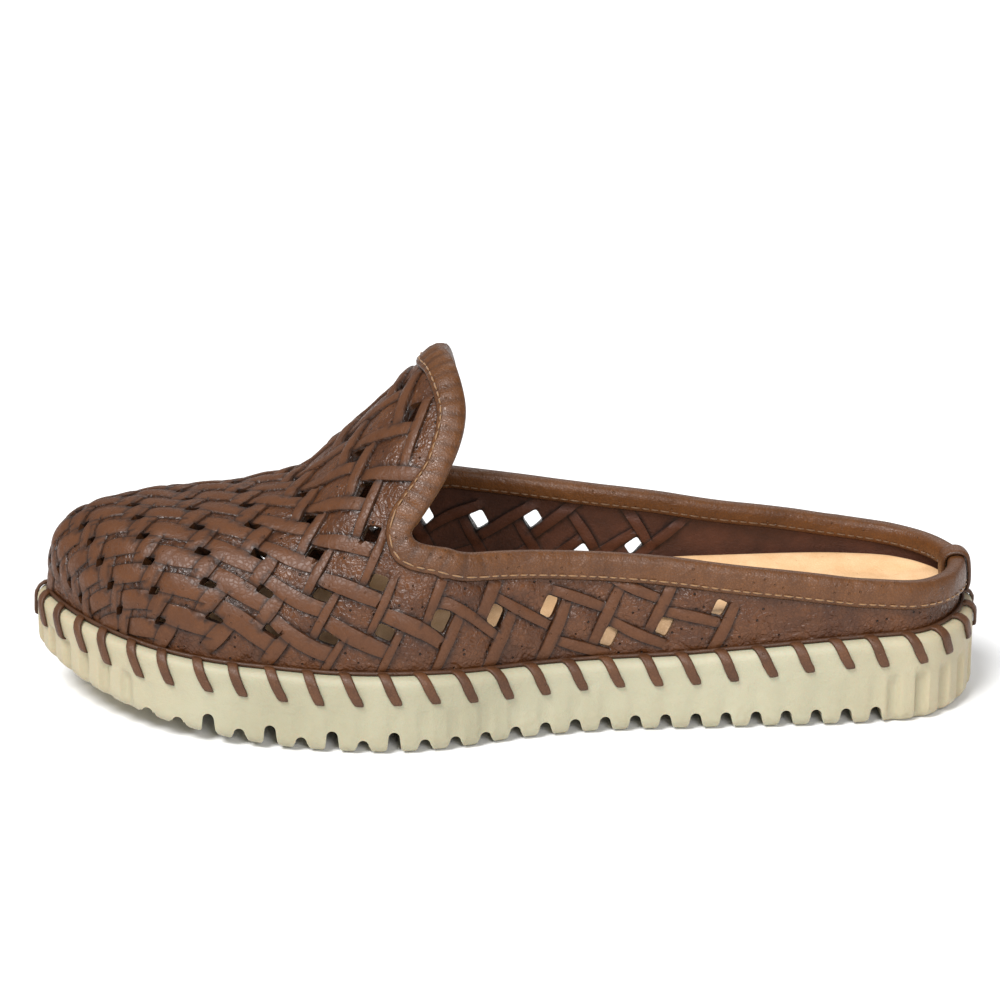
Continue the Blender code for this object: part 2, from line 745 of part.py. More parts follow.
def plain_points(patches, flap):
    """Free points in the plain leather: a row below the collar's binding and a loose grid beyond."""
    row = beyond_collar(np.arange(collar_stations), np.full(collar_stations, -flap - 0.5 * mm))
    corners = np.vstack(patches)
    ring = evenly(collar, 4 * collar_stations)
    low, high = foot_line[:, 0].min(), foot_line[:, 0].max() + 40 * mm
    kept = []
    for i, x in enumerate(np.arange(low - 40 * mm, high, plain_step)):
        for y in np.arange(-120 * mm, 120 * mm, plain_step):
            point = np.array([x, y + (i % 2) * plain_step / 2])
            if inside(point, collar)[0] or above_foot(point[None])[0] < 0.5 * plain_step:
                continue
            if np.linalg.norm(ring - point, axis=1).min() < flap + 0.6 * plain_step:
                continue
            if np.linalg.norm(corners - point, axis=1).min() > 0.6 * plain_step:
                kept.append(point)
    return list(row) + kept


def make_upper(collection, material):
    """One wall: plain leather with gaps cut through it and straps raised on it, both from the weave."""
    gaps, straps = weave_patches()
    foot_numbers = stations(upper_fine_step, upper_coarse_step)
    foot = flat_of_foot(foot_line[foot_numbers], foot_depth)
    loops = (foot, collar)
    plates = [weave_point(column + 0.5, row + 0.5) for column in range(weave_first_column, weave_last_column + 1)
              for row in np.arange(weave_first_row, weave_last_row + 1) + weave_row_phase]
    plates = [point for point in plates
              if not inside(point, collar)[0] and above_foot(point[None])[0] > weave_margin
              and np.linalg.norm(evenly(collar, 4 * collar_stations) - point, axis=1).min() > collar_margin]
    outer_flat, outer_triangles, outer_middle = triangulate(loops, gaps + straps, plain_points(gaps + straps, binding_outer_flap))
    inner_flat, inner_triangles, inner_middle = triangulate(loops, gaps, plates + plain_points(gaps + straps, binding_inner_flap))
    in_gap = np.any([inside(outer_middle, gap) for gap in gaps], axis=0)
    in_strap = np.any([inside(outer_middle, strap) for strap in straps], axis=0)
    inner_gap = np.any([inside(inner_middle, gap) for gap in gaps], axis=0)
    levels = {"leather": 0.0, "strap": strap_rise, "lining": -wall}
    outer_places = {name: lift_off(outer_flat, levels[name]) for name in ("leather", "strap")}
    lining_places = lift_off(inner_flat, levels["lining"])
    places, faces, known = [], [], {}

    def vertex(layer, point, place):
        name = (layer, key_of(point))
        if name not in known:
            known[name] = len(places)
            places.append(place)
        return known[name]

    def outer_vertex(layer, number):
        return vertex(layer, outer_flat[number], outer_places[layer][number])

    beside = {}
    for triangle, gap, strap in zip(outer_triangles, in_gap, in_strap):
        layer = "open" if gap else "strap" if strap else "leather"
        for i in range(3):
            edge = (int(triangle[i]), int(triangle[(i + 1) % 3]))
            beside.setdefault(tuple(sorted(edge)), []).append(layer)
        if layer != "open":
            faces.append([outer_vertex(layer, int(i)) for i in triangle])
    for triangle, gap in zip(inner_triangles, inner_gap):
        if not gap:
            faces.append([vertex("lining", inner_flat[i], lining_places[i]) for i in triangle])
    for (a, b), layers in beside.items():
        if sorted(layers) == ["leather", "strap"]:
            faces.append([outer_vertex("leather", a), outer_vertex("leather", b),
                          outer_vertex("strap", b), outer_vertex("strap", a)])
        elif layers == ["leather"] or sorted(layers) == ["leather", "open"]:
            faces.append([outer_vertex("leather", a), outer_vertex("leather", b),
                          known[("lining", key_of(outer_flat[b]))], known[("lining", key_of(outer_flat[a]))]])
    return mesh_object("upper", places, faces, material, collection)


def on_collar(numbers, out, beyond):
    """Points over the last at collar stations: out from its surface, and beyond the collar's edge."""
    return lift_off(beyond_collar(numbers, beyond), out)


def binding_profile():
    """The folded strip's section: columns are the distance out from the last and beyond the collar's edge."""
    out, back = binding_gap, -wall - binding_gap
    return (
        (out, fit_gap), (out, -binding_outer_flap), (out + 0.9 * leather, -binding_outer_flap),
        (out + leather, -0.15 * binding_outer_flap), (out + 0.2 * leather, fit_gap + leather),
        (back - 0.2 * leather, fit_gap + leather), (back - leather, -0.15 * binding_inner_flap), (back - 0.9 * leather, -binding_inner_flap),
        (back, -binding_inner_flap), (back, fit_gap),
    )


def make_binding(collection, material):
    numbers = np.arange(collar_stations)
    rows = [on_collar(numbers, out, np.full(len(numbers), beyond)) for out, beyond in binding_profile()]
    faces = []
    for i in range(len(rows)):
        faces += band(i * collar_stations, (i + 1) % len(rows) * collar_stations, collar_stations)
    return mesh_object("topline_binding", np.vstack(rows), faces, material, collection)


def offset_path(path, distance):
    """The open path moved to its left."""
    path = np.asarray(path)
    ahead = np.gradient(path, axis=0)
    ahead /= np.linalg.norm(ahead, axis=1)[:, None]
    return path + distance * np.stack([-ahead[:, 1], ahead[:, 0]], 1)


def make_heel_strip(collection, material):
    """An upright strip over the binding at the heel's back, folded over the collar."""
    heel_x = float(foot_line[:, 0].max())
    back = np.array([[heel_x, float(spine_table(heel_pole_share))]])
    edge = flat_of_height(back, topline_heel_height)[0]
    low = flat_of_height(back, float(rim_top(along(0))) + lace_thickness + 4 * fit_gap)[0]
    outside = binding_gap + leather + fit_gap + 0.2 * mm
    lining = -wall - binding_gap - leather - 1.5 * fit_gap
    foot = float(low[0] - edge[0])
    inner = topline_heel_height - footbed_heel_height - 4 * fit_gap
    top = leather + 3 * fit_gap
    # Columns: distance beyond the collar's edge, distance out from the last
    path = [
        (-foot, outside), (-0.5 * foot, outside), (0.0, outside), (0.75 * top, 0.8 * outside), (top + fit_gap, 0.0), (top + fit_gap, -wall),
        (0.75 * top, lining + 0.3 * leather), (0.0, lining - fit_gap), (-inner, lining - fit_gap),
    ]
    skin = offset_path([(out, beyond) for beyond, out in path], -leather)
    near = [(out, beyond) for beyond, out in path]
    columns = 4
    turn = heel_strip_width / 2 / (heel_width / 2)
    places, faces = [], []
    for side in np.linspace(-turn, turn, columns):
        for out, beyond in list(near) + list(skin)[::-1]:
            distance = edge[0] - heel_pole - beyond
            flat = np.array([[heel_pole + distance * math.cos(side), distance * math.sin(side)]])
            places.append(lift_off(flat, out)[0])
    count = 2 * len(path)
    for i in range(columns - 1):
        faces += band(i * count, (i + 1) * count, count)
    for start in (0, (columns - 1) * count):
        for i in range(len(path) - 1):
            faces.append((start + i, start + i + 1, start + count - i - 2, start + count - i - 1))
    return mesh_object("heel_strip", places, faces, material, collection)


def rim_place(walk, inset, height):
    """A point over the rim: at a distance along the outline, moved inward, above the rim's top."""
    ring = np.vstack([outline, outline[:1]])
    walked = np.concatenate([[0], np.cumsum(np.linalg.norm(np.diff(ring, axis=0), axis=1))])
    walk %= walked[-1]
    here = np.array([np.interp(walk, walked, ring[:, k]) for k in (0, 1)])
    moved = inset_line(outline, inset)
    moved = np.vstack([moved, moved[:1]])
    place = np.array([np.interp(walk, walked, moved[:, k]) for k in (0, 1)])
    return (*place, float(rim_top(here[0])) + height)


def make_lacing(collection, material):
    """A line of lace in the corner above the rim, with a slanting stitch over the rim at each pitch."""
    ring = np.vstack([outline, outline[:1]])
    length = float(np.linalg.norm(np.diff(ring, axis=0), axis=1).sum())
    pitch = length / stitch_count
    inner_radius = rim_round + fit_gap
    outer_radius = inner_radius + lace_thickness
    line_inset = rim_width - fit_gap / 2
    # Columns: angle down from the rim's top or None below it, share of the slant, share of the width
    tab_rows = ((45, 0.25, 1.0), (0, 0.5, 1.0), (None, 1.0, 0.7))
    places, faces = [], []

    def corners(walk):
        start = len(places)
        for inset, height in ((rim_round, fit_gap), (rim_round, fit_gap + lace_thickness),
                              (line_inset, fit_gap + lace_thickness), (line_inset, fit_gap)):
            places.append(rim_place(walk, inset, height))
        return start

    starts = []
    for number in range(stitch_count):
        starts += [corners(number * pitch - lace_width / 2), corners(number * pitch + lace_width / 2)]
    for i, start in enumerate(starts):
        after = starts[(i + 1) % len(starts)]
        for k in range(4):
            if i % 2 or k:
                faces.append((start + k, start + (k + 1) % 4, after + (k + 1) % 4, after + k))
    for number in range(stitch_count):
        left, right = starts[2 * number], starts[2 * number + 1]
        row = (left, right, right + 1, left + 1)
        for angle, slant, width in tab_rows:
            walk = number * pitch + slant * stitch_slant
            start = len(places)
            for side, radius in ((-1, inner_radius), (1, inner_radius), (1, outer_radius), (-1, outer_radius)):
                if angle is None:
                    inset, height = rim_round - radius, -stitch_drop
                else:
                    turn = math.radians(angle)
                    inset, height = rim_round - radius * math.cos(turn), radius * math.sin(turn) - rim_round
                places.append(rim_place(walk + side * width * lace_width / 2, inset, height))
            new = (start, start + 1, start + 2, start + 3)
            faces += [(row[k], row[(k + 1) % 4], new[(k + 1) % 4], new[k]) for k in range(4)]
            row = new
        faces.append(row)
    return mesh_object("whip_lacing", places, faces, material, collection)


def clear_scene():
    for item in list(bpy.data.objects):
        bpy.data.objects.remove(item, do_unlink=True)


def main():
    clear_scene()
    shoe = bpy.data.collections.new("flat_mule")
    cutters = bpy.data.collections.new("cutters")
    bpy.context.scene.collection.children.link(shoe)
    bpy.context.scene.collection.children.link(cutters)
    rubber = leather_material("cream_rubber", (0.62, 0.58, 0.38), 0.55)
    tan = leather_material("tan_leather", (0.78, 0.50, 0.24), 0.5)
    brown = leather_material("brown_leather", (0.14, 0.062, 0.03), 0.45)
    edge = leather_material("binding_leather", (0.17, 0.08, 0.032), 0.42)
    lace = leather_material("lace_leather", (0.15, 0.065, 0.028), 0.5)
    outsole = make_outsole(shoe, rubber)
    cut_grooves(outsole, make_groove_cutters(cutters, rubber))
    make_insole(shoe, tan)
    make_upper(shoe, brown)
    make_binding(shoe, edge)
    make_heel_strip(shoe, edge)
    make_lacing(shoe, lace)


main()
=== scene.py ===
import math

import bmesh
import bpy
import numpy as np
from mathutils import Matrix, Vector
from mathutils.geometry import delaunay_2d_cdt


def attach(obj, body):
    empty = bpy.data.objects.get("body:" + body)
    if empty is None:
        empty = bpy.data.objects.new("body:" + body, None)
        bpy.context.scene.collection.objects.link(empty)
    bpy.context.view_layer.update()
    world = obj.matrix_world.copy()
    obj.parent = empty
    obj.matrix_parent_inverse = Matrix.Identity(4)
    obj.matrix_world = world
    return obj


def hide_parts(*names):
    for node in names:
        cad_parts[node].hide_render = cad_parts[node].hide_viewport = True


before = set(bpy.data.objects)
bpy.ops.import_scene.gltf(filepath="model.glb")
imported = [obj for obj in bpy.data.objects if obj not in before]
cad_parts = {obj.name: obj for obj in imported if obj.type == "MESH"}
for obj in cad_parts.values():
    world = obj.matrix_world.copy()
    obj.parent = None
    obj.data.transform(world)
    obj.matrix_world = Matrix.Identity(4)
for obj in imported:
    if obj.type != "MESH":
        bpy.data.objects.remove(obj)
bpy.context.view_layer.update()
mm = 0.001
print("frame loaded")

# The shoe's own sizes, in metres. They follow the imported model, so a change there needs a change here.
shoe = {
    "length": 265 * mm, "ballWidth": 95 * mm, "waistWidth": 66 * mm, "heelWidth": 65 * mm,
    "heelInset": 2 * mm, "toeSpring": 13 * mm, "heelLift": 2 * mm,
    "heelSide": 24.6 * mm, "waistSide": 20.8 * mm, "ballSide": 21.8 * mm, "toeSide": 16 * mm,
    "rimWidth": 3.6 * mm, "rimRound": 2.6 * mm, "footRound": 3.2 * mm, "cupDepth": 6 * mm,
    "instep": 99.5 * mm, "toeBox": 56.6 * mm, "wall": 1.8 * mm, "fit": 0.3 * mm,
    "toplineHeel": 37 * mm, "toplineOuter": 52.5 * mm, "toplineInner": 56.5 * mm,
    "footbedHeel": 31.2 * mm, "footbedBall": 26.5 * mm, "footbedToe": 21.5 * mm, "footbedDish": 2.6 * mm,
    "springStart": 0.672, "liftEnd": 0.09, "toePole": 0.864, "heelPole": 0.13, "toeSlope": 0.13,
}


# Reading tables and lines

def hermite(s):
    # shares of the start, its slope, the end and its slope
    return 2 * s ** 3 - 3 * s ** 2 + 1, s ** 3 - 2 * s ** 2 + s, 3 * s ** 2 - 2 * s ** 3, s ** 3 - s ** 2


def unit(vector):
    return vector / np.linalg.norm(vector)


def unitRows(rows):
    return rows / np.linalg.norm(rows, axis=1)[:, None]


def walkAlong(line):
    return np.concatenate([[0], np.cumsum(np.linalg.norm(np.diff(line, axis=0), axis=1))])


def smoothTable(rows):
    place, value = np.array(rows, float).T
    rise = np.diff(value) / np.diff(place)
    slope = np.concatenate([rise[:1], np.zeros(len(rise) - 1), rise[-1:]])
    for i in range(1, len(rise)):
        if rise[i - 1] * rise[i] > 0:
            slope[i] = 2 * rise[i - 1] * rise[i] / (rise[i - 1] + rise[i])

    def read(at):
        at = np.clip(np.asarray(at, float), place[0], place[-1])
        i = np.clip(np.searchsorted(place, at) - 1, 0, len(place) - 2)
        width = place[i + 1] - place[i]
        a, b, c, d = hermite((at - place[i]) / width)
        return a * value[i] + b * width * slope[i] + c * value[i + 1] + d * width * slope[i + 1]

    return read


def closedCurve(points, steps):
    points = np.asarray(points, float)
    line = []
    for i in range(len(points)):
        a, b, c, d = (points[(i + k) % len(points)] for k in (-1, 0, 1, 2))
        ab, bc, cd = (math.dist(*pair) ** 0.5 for pair in ((a, b), (b, c), (c, d)))
        leave = (c - b) + bc * ((b - a) / ab - (c - a) / (ab + bc))
        arrive = (c - b) + bc * ((d - c) / cd - (d - b) / (bc + cd))
        for k in range(steps):
            h = hermite(k / steps)
            line.append(h[0] * b + h[1] * leave + h[2] * c + h[3] * arrive)
    return np.array(line)


def evenly(line, count):
    ring = np.vstack([line, line[:1]])
    walked = walkAlong(ring)
    at = np.linspace(0, walked[-1], count, endpoint=False)
    return np.stack([np.interp(at, walked, ring[:, k]) for k in range(ring.shape[1])], 1)


def insetLine(line, distance):
    ahead = unitRows(np.roll(line, -1, 0) - np.roll(line, 1, 0))
    return line + np.asarray(distance).reshape(-1, 1) * np.stack([ahead[:, 1], -ahead[:, 0]], 1)


def smoothStep(value, low, high):
    s = np.clip((value - low) / (high - low), 0, 1)
    return s * s * (3 - 2 * s)


def waves(points, seeds, size):
    # a soft wandering value from -1 to 1, the same on every run
    value = np.zeros(len(points))
    for seed in range(seeds):
        turn = 2.399963 * seed + 0.7
        reach = size * (0.6 + 0.35 * ((seed * 0.618) % 1))
        direction = np.array([math.cos(turn), math.sin(turn), math.cos(1.7 * turn)])[:points.shape[1]]
        value += np.sin(points @ direction / reach * 2 * math.pi + 1.3 * seed)
    return value / seeds * 1.6


def along(share):
    return shoe["length"] * (0.5 - share)


def shareAt(x):
    return 0.5 - np.asarray(x, float) / shoe["length"]


# The sole's outline, from the back of the heel along the outer side to the toe and back.
# Columns: share of the length from the heel, width followed, share of half that width
outlineRows = (
    (0.000, "heel", 0.00), (0.017, "heel", -0.52), (0.062, "heel", -0.89), (0.130, "heel", -1.00),
    (0.279, "waist", -1.07), (0.411, "waist", -1.08), (0.498, "ball", -0.835), (0.558, "ball", -0.945),
    (0.622, "ball", -1.00), (0.713, "ball", -0.935), (0.808, "ball", -0.79), (0.883, "ball", -0.59),
    (0.943, "ball", -0.30), (0.981, "ball", 0.00), (1.000, "ball", 0.27), (0.991, "ball", 0.49),
    (0.957, "ball", 0.68), (0.900, "ball", 0.85), (0.808, "ball", 0.965), (0.713, "ball", 1.00),
    (0.618, "ball", 0.915), (0.505, "waist", 1.06), (0.391, "waist", 0.90), (0.279, "waist", 0.88),
    (0.130, "heel", 1.00), (0.062, "heel", 0.89), (0.017, "heel", 0.52),
)
# Columns: share of the length, height followed, share of it
sideRows = (
    (0.00, "heelSide", 1.02), (0.13, "heelSide", 1.00), (0.26, "heelSide", 0.91), (0.37, "waistSide", 1.00),
    (0.50, "waistSide", 0.99), (0.62, "ballSide", 1.00), (0.73, "ballSide", 1.00), (0.83, "ballSide", 0.93),
    (0.93, "toeSide", 1.14), (1.00, "toeSide", 1.00),
)
# Columns: share of the length, share of the climb from the toe box to the vamp's peak
ridgeRows = (
    (0.000, 1.02), (0.545, 1.02), (0.568, 1.00), (0.583, 0.94), (0.614, 0.755), (0.646, 0.555),
    (0.676, 0.375), (0.704, 0.215), (0.738, 0.110), (0.802, 0.040), (0.864, 0.000), (1.000, 0.000),
)
# Columns: share of the length, sideways place of the ridge as a share of half the ball's width
spineRows = (
    (0.00, -0.04), (0.13, -0.04), (0.40, 0.02), (0.56, 0.085), (0.72, 0.105), (0.864, 0.126), (1.00, 0.126),
)
# Columns: share of the length, squareness of the cross section
squareRows = (
    (0.0, 1.9), (0.45, 1.95), (0.56, 1.95), (0.65, 2.05), (0.72, 2.25), (0.80, 2.5), (0.864, 2.75),
    (1.0, 2.9),
)
# Columns: share of the length, share of the girth from the ridge to the sole
throatRows = (
    (0.5705, 0.000), (0.5635, 0.060), (0.5587, 0.130), (0.5537, 0.210), (0.5517, 0.265), (0.5555, 0.328),
    (0.5640, 0.390), (0.5760, 0.453), (0.5915, 0.504), (0.6040, 0.540), (0.6130, 0.568), (0.6135, 0.600),
    (0.6035, 0.630), (0.5840, 0.654),
)
# Columns: share of the length, share of the climb from the heel's topline to the side's
toplineRows = (
    (0.00, 0.00), (0.06, 0.03), (0.12, 0.13), (0.20, 0.33), (0.27, 0.48), (0.34, 0.66), (0.42, 0.80),
    (0.50, 0.92), (0.58, 1.00),
)
# Columns: share of the length, height followed, share of it
footbedRows = (
    (0.00, "footbedHeel", 0.95), (0.08, "footbedHeel", 0.99), (0.28, "footbedHeel", 1.02),
    (0.42, "footbedHeel", 0.96), (0.62, "footbedBall", 1.00), (0.80, "footbedBall", 0.95),
    (1.00, "footbedToe", 1.00),
)
# Columns: share of the length, row step as a share of the girth
weaveRows = (
    (0.28, 0.1365), (0.34, 0.1455), (0.41, 0.150), (0.47, 0.159), (0.58, 0.163), (0.68, 0.165),
    (0.75, 0.160), (0.82, 0.150), (1.00, 0.153),
)


def outlinePoints():
    points = []
    for share, name, side in outlineRows:
        shift = -shoe["heelInset"] if name == "heel" else 0
        points.append((along(share), shoe[name + "Width"] / 2 * side + shift))
    return points


outline = closedCurve(outlinePoints(), 24)
sideTable = smoothTable([(share, shoe[name] * part) for share, name, part in sideRows])
footbedTable = smoothTable([(share, shoe[name] * part) for share, name, part in footbedRows])
climb = shoe["instep"] - shoe["toeBox"]
ridgeTable = smoothTable([(share, shoe["toeBox"] + climb * part) for share, part in ridgeRows])
spineTable = smoothTable([(s, shoe["ballWidth"] / 2 * part) for s, part in spineRows])
squareTable = smoothTable(squareRows)
toplineTable = smoothTable(toplineRows)
weaveTable = smoothTable(weaveRows)
toePole = along(shoe["toePole"])
heelPole = along(shoe["heelPole"])
footLine = insetLine(outline, shoe["rimWidth"] + shoe["fit"])


def underside(x):
    share = shareAt(x)
    toe = np.clip(share - shoe["springStart"], 0, None) / (1 - shoe["springStart"])
    heel = np.clip(shoe["liftEnd"] - share, 0, None) / shoe["liftEnd"]
    return shoe["toeSpring"] * toe ** 2 + shoe["heelLift"] * heel ** 2


def rimTop(x):
    return underside(x) + sideTable(shareAt(x))


def footbedTop(x):
    return underside(x) + footbedTable(shareAt(x))


# The last, read in flat coordinates: p along the shoe and q over the ridge, as distances on the leather.
# Toe and heel are fans round a pole, and q is below zero on the outer side.

def fan(pole, ahead):
    arm = footLine - np.array([pole, float(spineTable(shareAt(pole)))])
    angle = np.arctan2(arm[:, 1], ahead * arm[:, 0])
    order = np.argsort(angle)
    return angle[order], np.hypot(arm[:, 0], arm[:, 1])[order]


tipNumber = int(np.argmin(footLine[:, 0]))
outerSide = footLine[:tipNumber + 1][::-1]
innerSide = np.vstack([footLine[tipNumber:], footLine[:1]])
toeFan = fan(toePole, -1)
heelFan = fan(heelPole, 1)


def sections(p, q):
    p = np.asarray(p, float)
    q = np.asarray(q, float)
    base = np.clip(p, toePole, heelPole)
    middle = spineTable(shareAt(base))
    distance = np.maximum(np.hypot(p - base, q), 1e-9)
    east = (p - base) / distance
    north = np.where(distance < 2e-9, 1.0, q / distance)
    outer = middle - np.interp(base, outerSide[:, 0], outerSide[:, 1])
    inner = np.interp(base, innerSide[:, 0], innerSide[:, 1]) - middle
    reach = np.where(q < 0, outer, inner)
    reach = np.where(p < toePole, np.interp(np.arctan2(north, -east), *toeFan), reach)
    reach = np.where(p > heelPole, np.interp(np.arctan2(north, east), *heelFan), reach)
    foot = rimTop(base + east * reach)
    top, square = ridgeTable(shareAt(base)), squareTable(shareAt(base + east * reach))
    return base, middle, east, north, distance, reach, foot, top, square


def arch(reach, foot, top, square):
    turn = np.linspace(0, math.pi / 2, 48)[None]
    power = (2 / square)[:, None]
    out = reach[:, None] * np.sin(turn) ** power
    up = (top - foot)[:, None] * np.cos(turn) ** power
    step = np.hypot(np.diff(out, axis=1), np.diff(up, axis=1))
    return out, up, np.concatenate([np.zeros((len(reach), 1)), np.cumsum(step, 1)], 1)


def girth(p, q):
    return arch(*sections(p, q)[5:])[2][:, -1]


def lastPoint(p, q):
    base, middle, east, north, distance, reach, foot, top, square = sections(p, q)
    out, up, walked = arch(reach, foot, top, square)
    total = walked[:, -1]
    on = np.minimum(distance, total)
    k = np.clip((walked < on[:, None]).sum(1) - 1, 0, walked.shape[1] - 2)
    row = np.arange(len(on))
    s = (on - walked[row, k]) / np.maximum(walked[row, k + 1] - walked[row, k], 1e-12)
    plan = out[row, k] * (1 - s) + out[row, k + 1] * s
    height = up[row, k] * (1 - s) + up[row, k + 1] * s
    tilt = shoe["toeSlope"] * np.clip(-east, 0, 1) * plan * (1 - plan / reach)
    below = np.maximum(distance - total, 0)
    return np.stack([base + east * plan, middle + north * plan, foot + height - tilt - below], 1)


def lastNormal(p, q, step=0.5 * mm):
    p = np.asarray(p, float)
    q = np.asarray(q, float)
    lengthwise = lastPoint(p + step, q) - lastPoint(p - step, q)
    return unitRows(np.cross(lengthwise, lastPoint(p, q + step) - lastPoint(p, q - step)))


def liftOff(flat, height):
    flat = np.asarray(flat, float)
    return lastPoint(*flat.T) + np.asarray(height).reshape(-1, 1) * lastNormal(*flat.T)


def armsTo(places):
    base = np.clip(places[:, 0], toePole, heelPole)
    arm = np.stack([places[:, 0] - base, places[:, 1] - spineTable(shareAt(base))], 1)
    return np.stack([base, np.zeros(len(base))], 1), unitRows(arm)


def flatOfFoot(places, extra):
    base, arm = armsTo(places)
    return base + arm * (girth(*(base + arm * mm).T) + extra)[:, None]


def flatOfHeight(places, height):
    base, arm = armsTo(places)
    section = sections(*(base + arm * mm).T)
    _, up, walked = arch(*section[5:])
    walk = np.array([np.interp(-w, -u, d) for w, u, d in zip(height - section[6], up, walked)])
    return base + arm * walk[:, None]


def collarLine():
    shares, parts = np.array(throatRows).T
    throat = []
    for side in (-1, 1):
        x = along(shares)
        throat.append(np.stack([x, side * parts * girth(x, np.full(len(x), side * mm))], 1))
    order = np.arange(len(footLine))
    walls = []
    for side, height in ((0, shoe["toplineOuter"]), (1, shoe["toplineInner"])):
        half = order > tipNumber if side else order < tipNumber
        places = footLine[half & (footLine[:, 0] > throat[side][-1, 0] + 6 * mm)]
        places = places if side else places[::-1]
        rise = shoe["toplineHeel"] + (height - shoe["toplineHeel"]) * toplineTable(shareAt(places[:, 0]))
        walls.append(flatOfHeight(places, rise))
    return np.vstack([throat[0], walls[0], walls[1][::-1], throat[1][::-1][:-1]])


def evenlyOnLast(flat, count):
    ring = np.vstack([flat, flat[:1]])
    walked = walkAlong(lastPoint(*ring.T))
    at = np.linspace(0, walked[-1], count, endpoint=False)
    return np.stack([np.interp(at, walked, ring[:, 0]), np.interp(at, walked, ring[:, 1])], 1), walked[-1]


def soften(line, rounds):
    for _ in range(rounds):
        line = 0.5 * line + 0.25 * (np.roll(line, 1, 0) + np.roll(line, -1, 0))
    return line


collar, collarLength = evenlyOnLast(soften(evenlyOnLast(collarLine(), 360)[0], 6), 720)


def beyondCollar(numbers, beyond):
    # flat points at collar stations, beyond the edge into the opening or back into the leather
    ahead = unitRows(np.roll(collar, -4, 0) - np.roll(collar, 4, 0))
    opening = np.stack([-ahead[:, 1], ahead[:, 0]], 1)[numbers]
    edge = collar[numbers]
    step = 0.5 * mm
    stretch = np.linalg.norm(lastPoint(*(edge + step * opening).T) - lastPoint(*edge.T), axis=1) / step
    return edge + opening * (np.asarray(beyond) / stretch)[:, None]


def insideLoop(points, loop):
    x, y = np.atleast_2d(points).T
    found = np.zeros(len(x), bool)
    for (ax, ay), (bx, by) in zip(loop, np.roll(loop, -1, 0)):
        if ay != by:
            found ^= ((ay > y) != (by > y)) & (x < (bx - ax) * (y - ay) / (by - ay) + ax)
    return found


def aboveFoot(flat):
    base = np.clip(flat[:, 0], toePole, heelPole)
    return girth(*flat.T) - np.hypot(flat[:, 0] - base, flat[:, 1])


def nearestTo(points, ring):
    # distance from each point to a fine line, a block at a time to save memory
    found = np.empty(len(points))
    for start in range(0, len(points), 4000):
        block = points[start:start + 4000]
        found[start:start + 4000] = np.sqrt(((block[:, None] - ring[None]) ** 2).sum(2).min(1))
    return found


# Meshes

def putMesh(name, places, faces, materials, smooth=True):
    mesh = bpy.data.meshes.new(name)
    mesh.from_pydata([tuple(map(float, place)) for place in places], [], faces)
    work = bmesh.new()
    work.from_mesh(mesh)
    bmesh.ops.recalc_face_normals(work, faces=work.faces)
    work.to_mesh(mesh)
    work.free()
    for material in materials:
        mesh.materials.append(material)
    mesh.polygons.foreach_set("use_smooth", [smooth] * len(mesh.polygons))
    piece = bpy.data.objects.new(name, mesh)
    bpy.context.scene.collection.objects.link(piece)
    return piece


def storeValues(piece, name, values):
    layer = piece.data.attributes.new(name, "FLOAT", "POINT")
    layer.data.foreach_set("value", np.asarray(values, np.float32))


def band(first, second, count):
    return [(first + i, first + (i + 1) % count, second + (i + 1) % count, second + i) for i in range(count)]


def tube(first, count, rings, ended=False):
    # joins rings of count vertices, and closes the first and the last one where it is ended
    faces = []
    for k in range(rings - 1):
        faces += band(first + k * count, first + (k + 1) * count, count)
    if ended:
        last = first + (rings - 1) * count
        faces += [tuple(range(first, first + count)), tuple(range(last, last + count))]
    return faces


def place(piece, slotName, *stands):
    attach(piece, "root")
    if stands:
        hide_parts(*stands)


# Shader node groups

def newGroup(name, inputs, outputs):
    group = bpy.data.node_groups.new(name, "ShaderNodeTree")
    for label, kind, value in inputs:
        socket = group.interface.new_socket(name=label, in_out="INPUT", socket_type=kind)
        socket.default_value = value
    for label, kind in outputs:
        group.interface.new_socket(name=label, in_out="OUTPUT", socket_type=kind)
    return group, group.nodes.new("NodeGroupInput"), group.nodes.new("NodeGroupOutput")


def setInputs(made, values):
    for key, value in values.items():
        made.inputs[key].default_value = value


def node(tree, kind, values=None, **settings):
    made = tree.nodes.new(kind)
    for key, value in settings.items():
        setattr(made, key, value)
    setInputs(made, values or {})
    return made


def storedValue(tree, name):
    return node(tree, "ShaderNodeAttribute", attribute_name=name).outputs["Fac"]


def objectCoords(tree):
    return node(tree, "ShaderNodeTexCoord").outputs["Object"]


def noiseNode(tree, coords, scale, detail=3.0, rough=0.55, distort=0.0):
    values = {"Scale": scale, "Detail": detail, "Roughness": rough, "Distortion": distort}
    made = node(tree, "ShaderNodeTexNoise", values)
    tree.links.new(coords, made.inputs["Vector"])
    return made


def rangeNode(tree, source, low, high, start=0.0, end=1.0):
    values = {"From Min": low, "From Max": high, "To Min": start, "To Max": end}
    made = node(tree, "ShaderNodeMapRange", values)
    tree.links.new(source, made.inputs["Value"])
    return made.outputs["Result"]


def mathNode(tree, operation, first, second):
    made = node(tree, "ShaderNodeMath", operation=operation)
    for socket, value in zip(made.inputs, (first, second)):
        if isinstance(value, (int, float)):
            socket.default_value = value
        else:
            tree.links.new(value, socket)
    return made.outputs[0]


def mixNode(tree, factor, first, second):
    made = node(tree, "ShaderNodeMix", data_type="RGBA")
    for socket, value in ((made.inputs[0], factor), (made.inputs[6], first), (made.inputs[7], second)):
        if isinstance(value, (int, float, tuple)):
            socket.default_value = value
        else:
            tree.links.new(value, socket)
    return made.outputs[2]


grainParts = {"pores": 0.06, "creases": 0.16, "wrinkles": 1.6, "mottle": 0.4, "pinholes": 1.2}


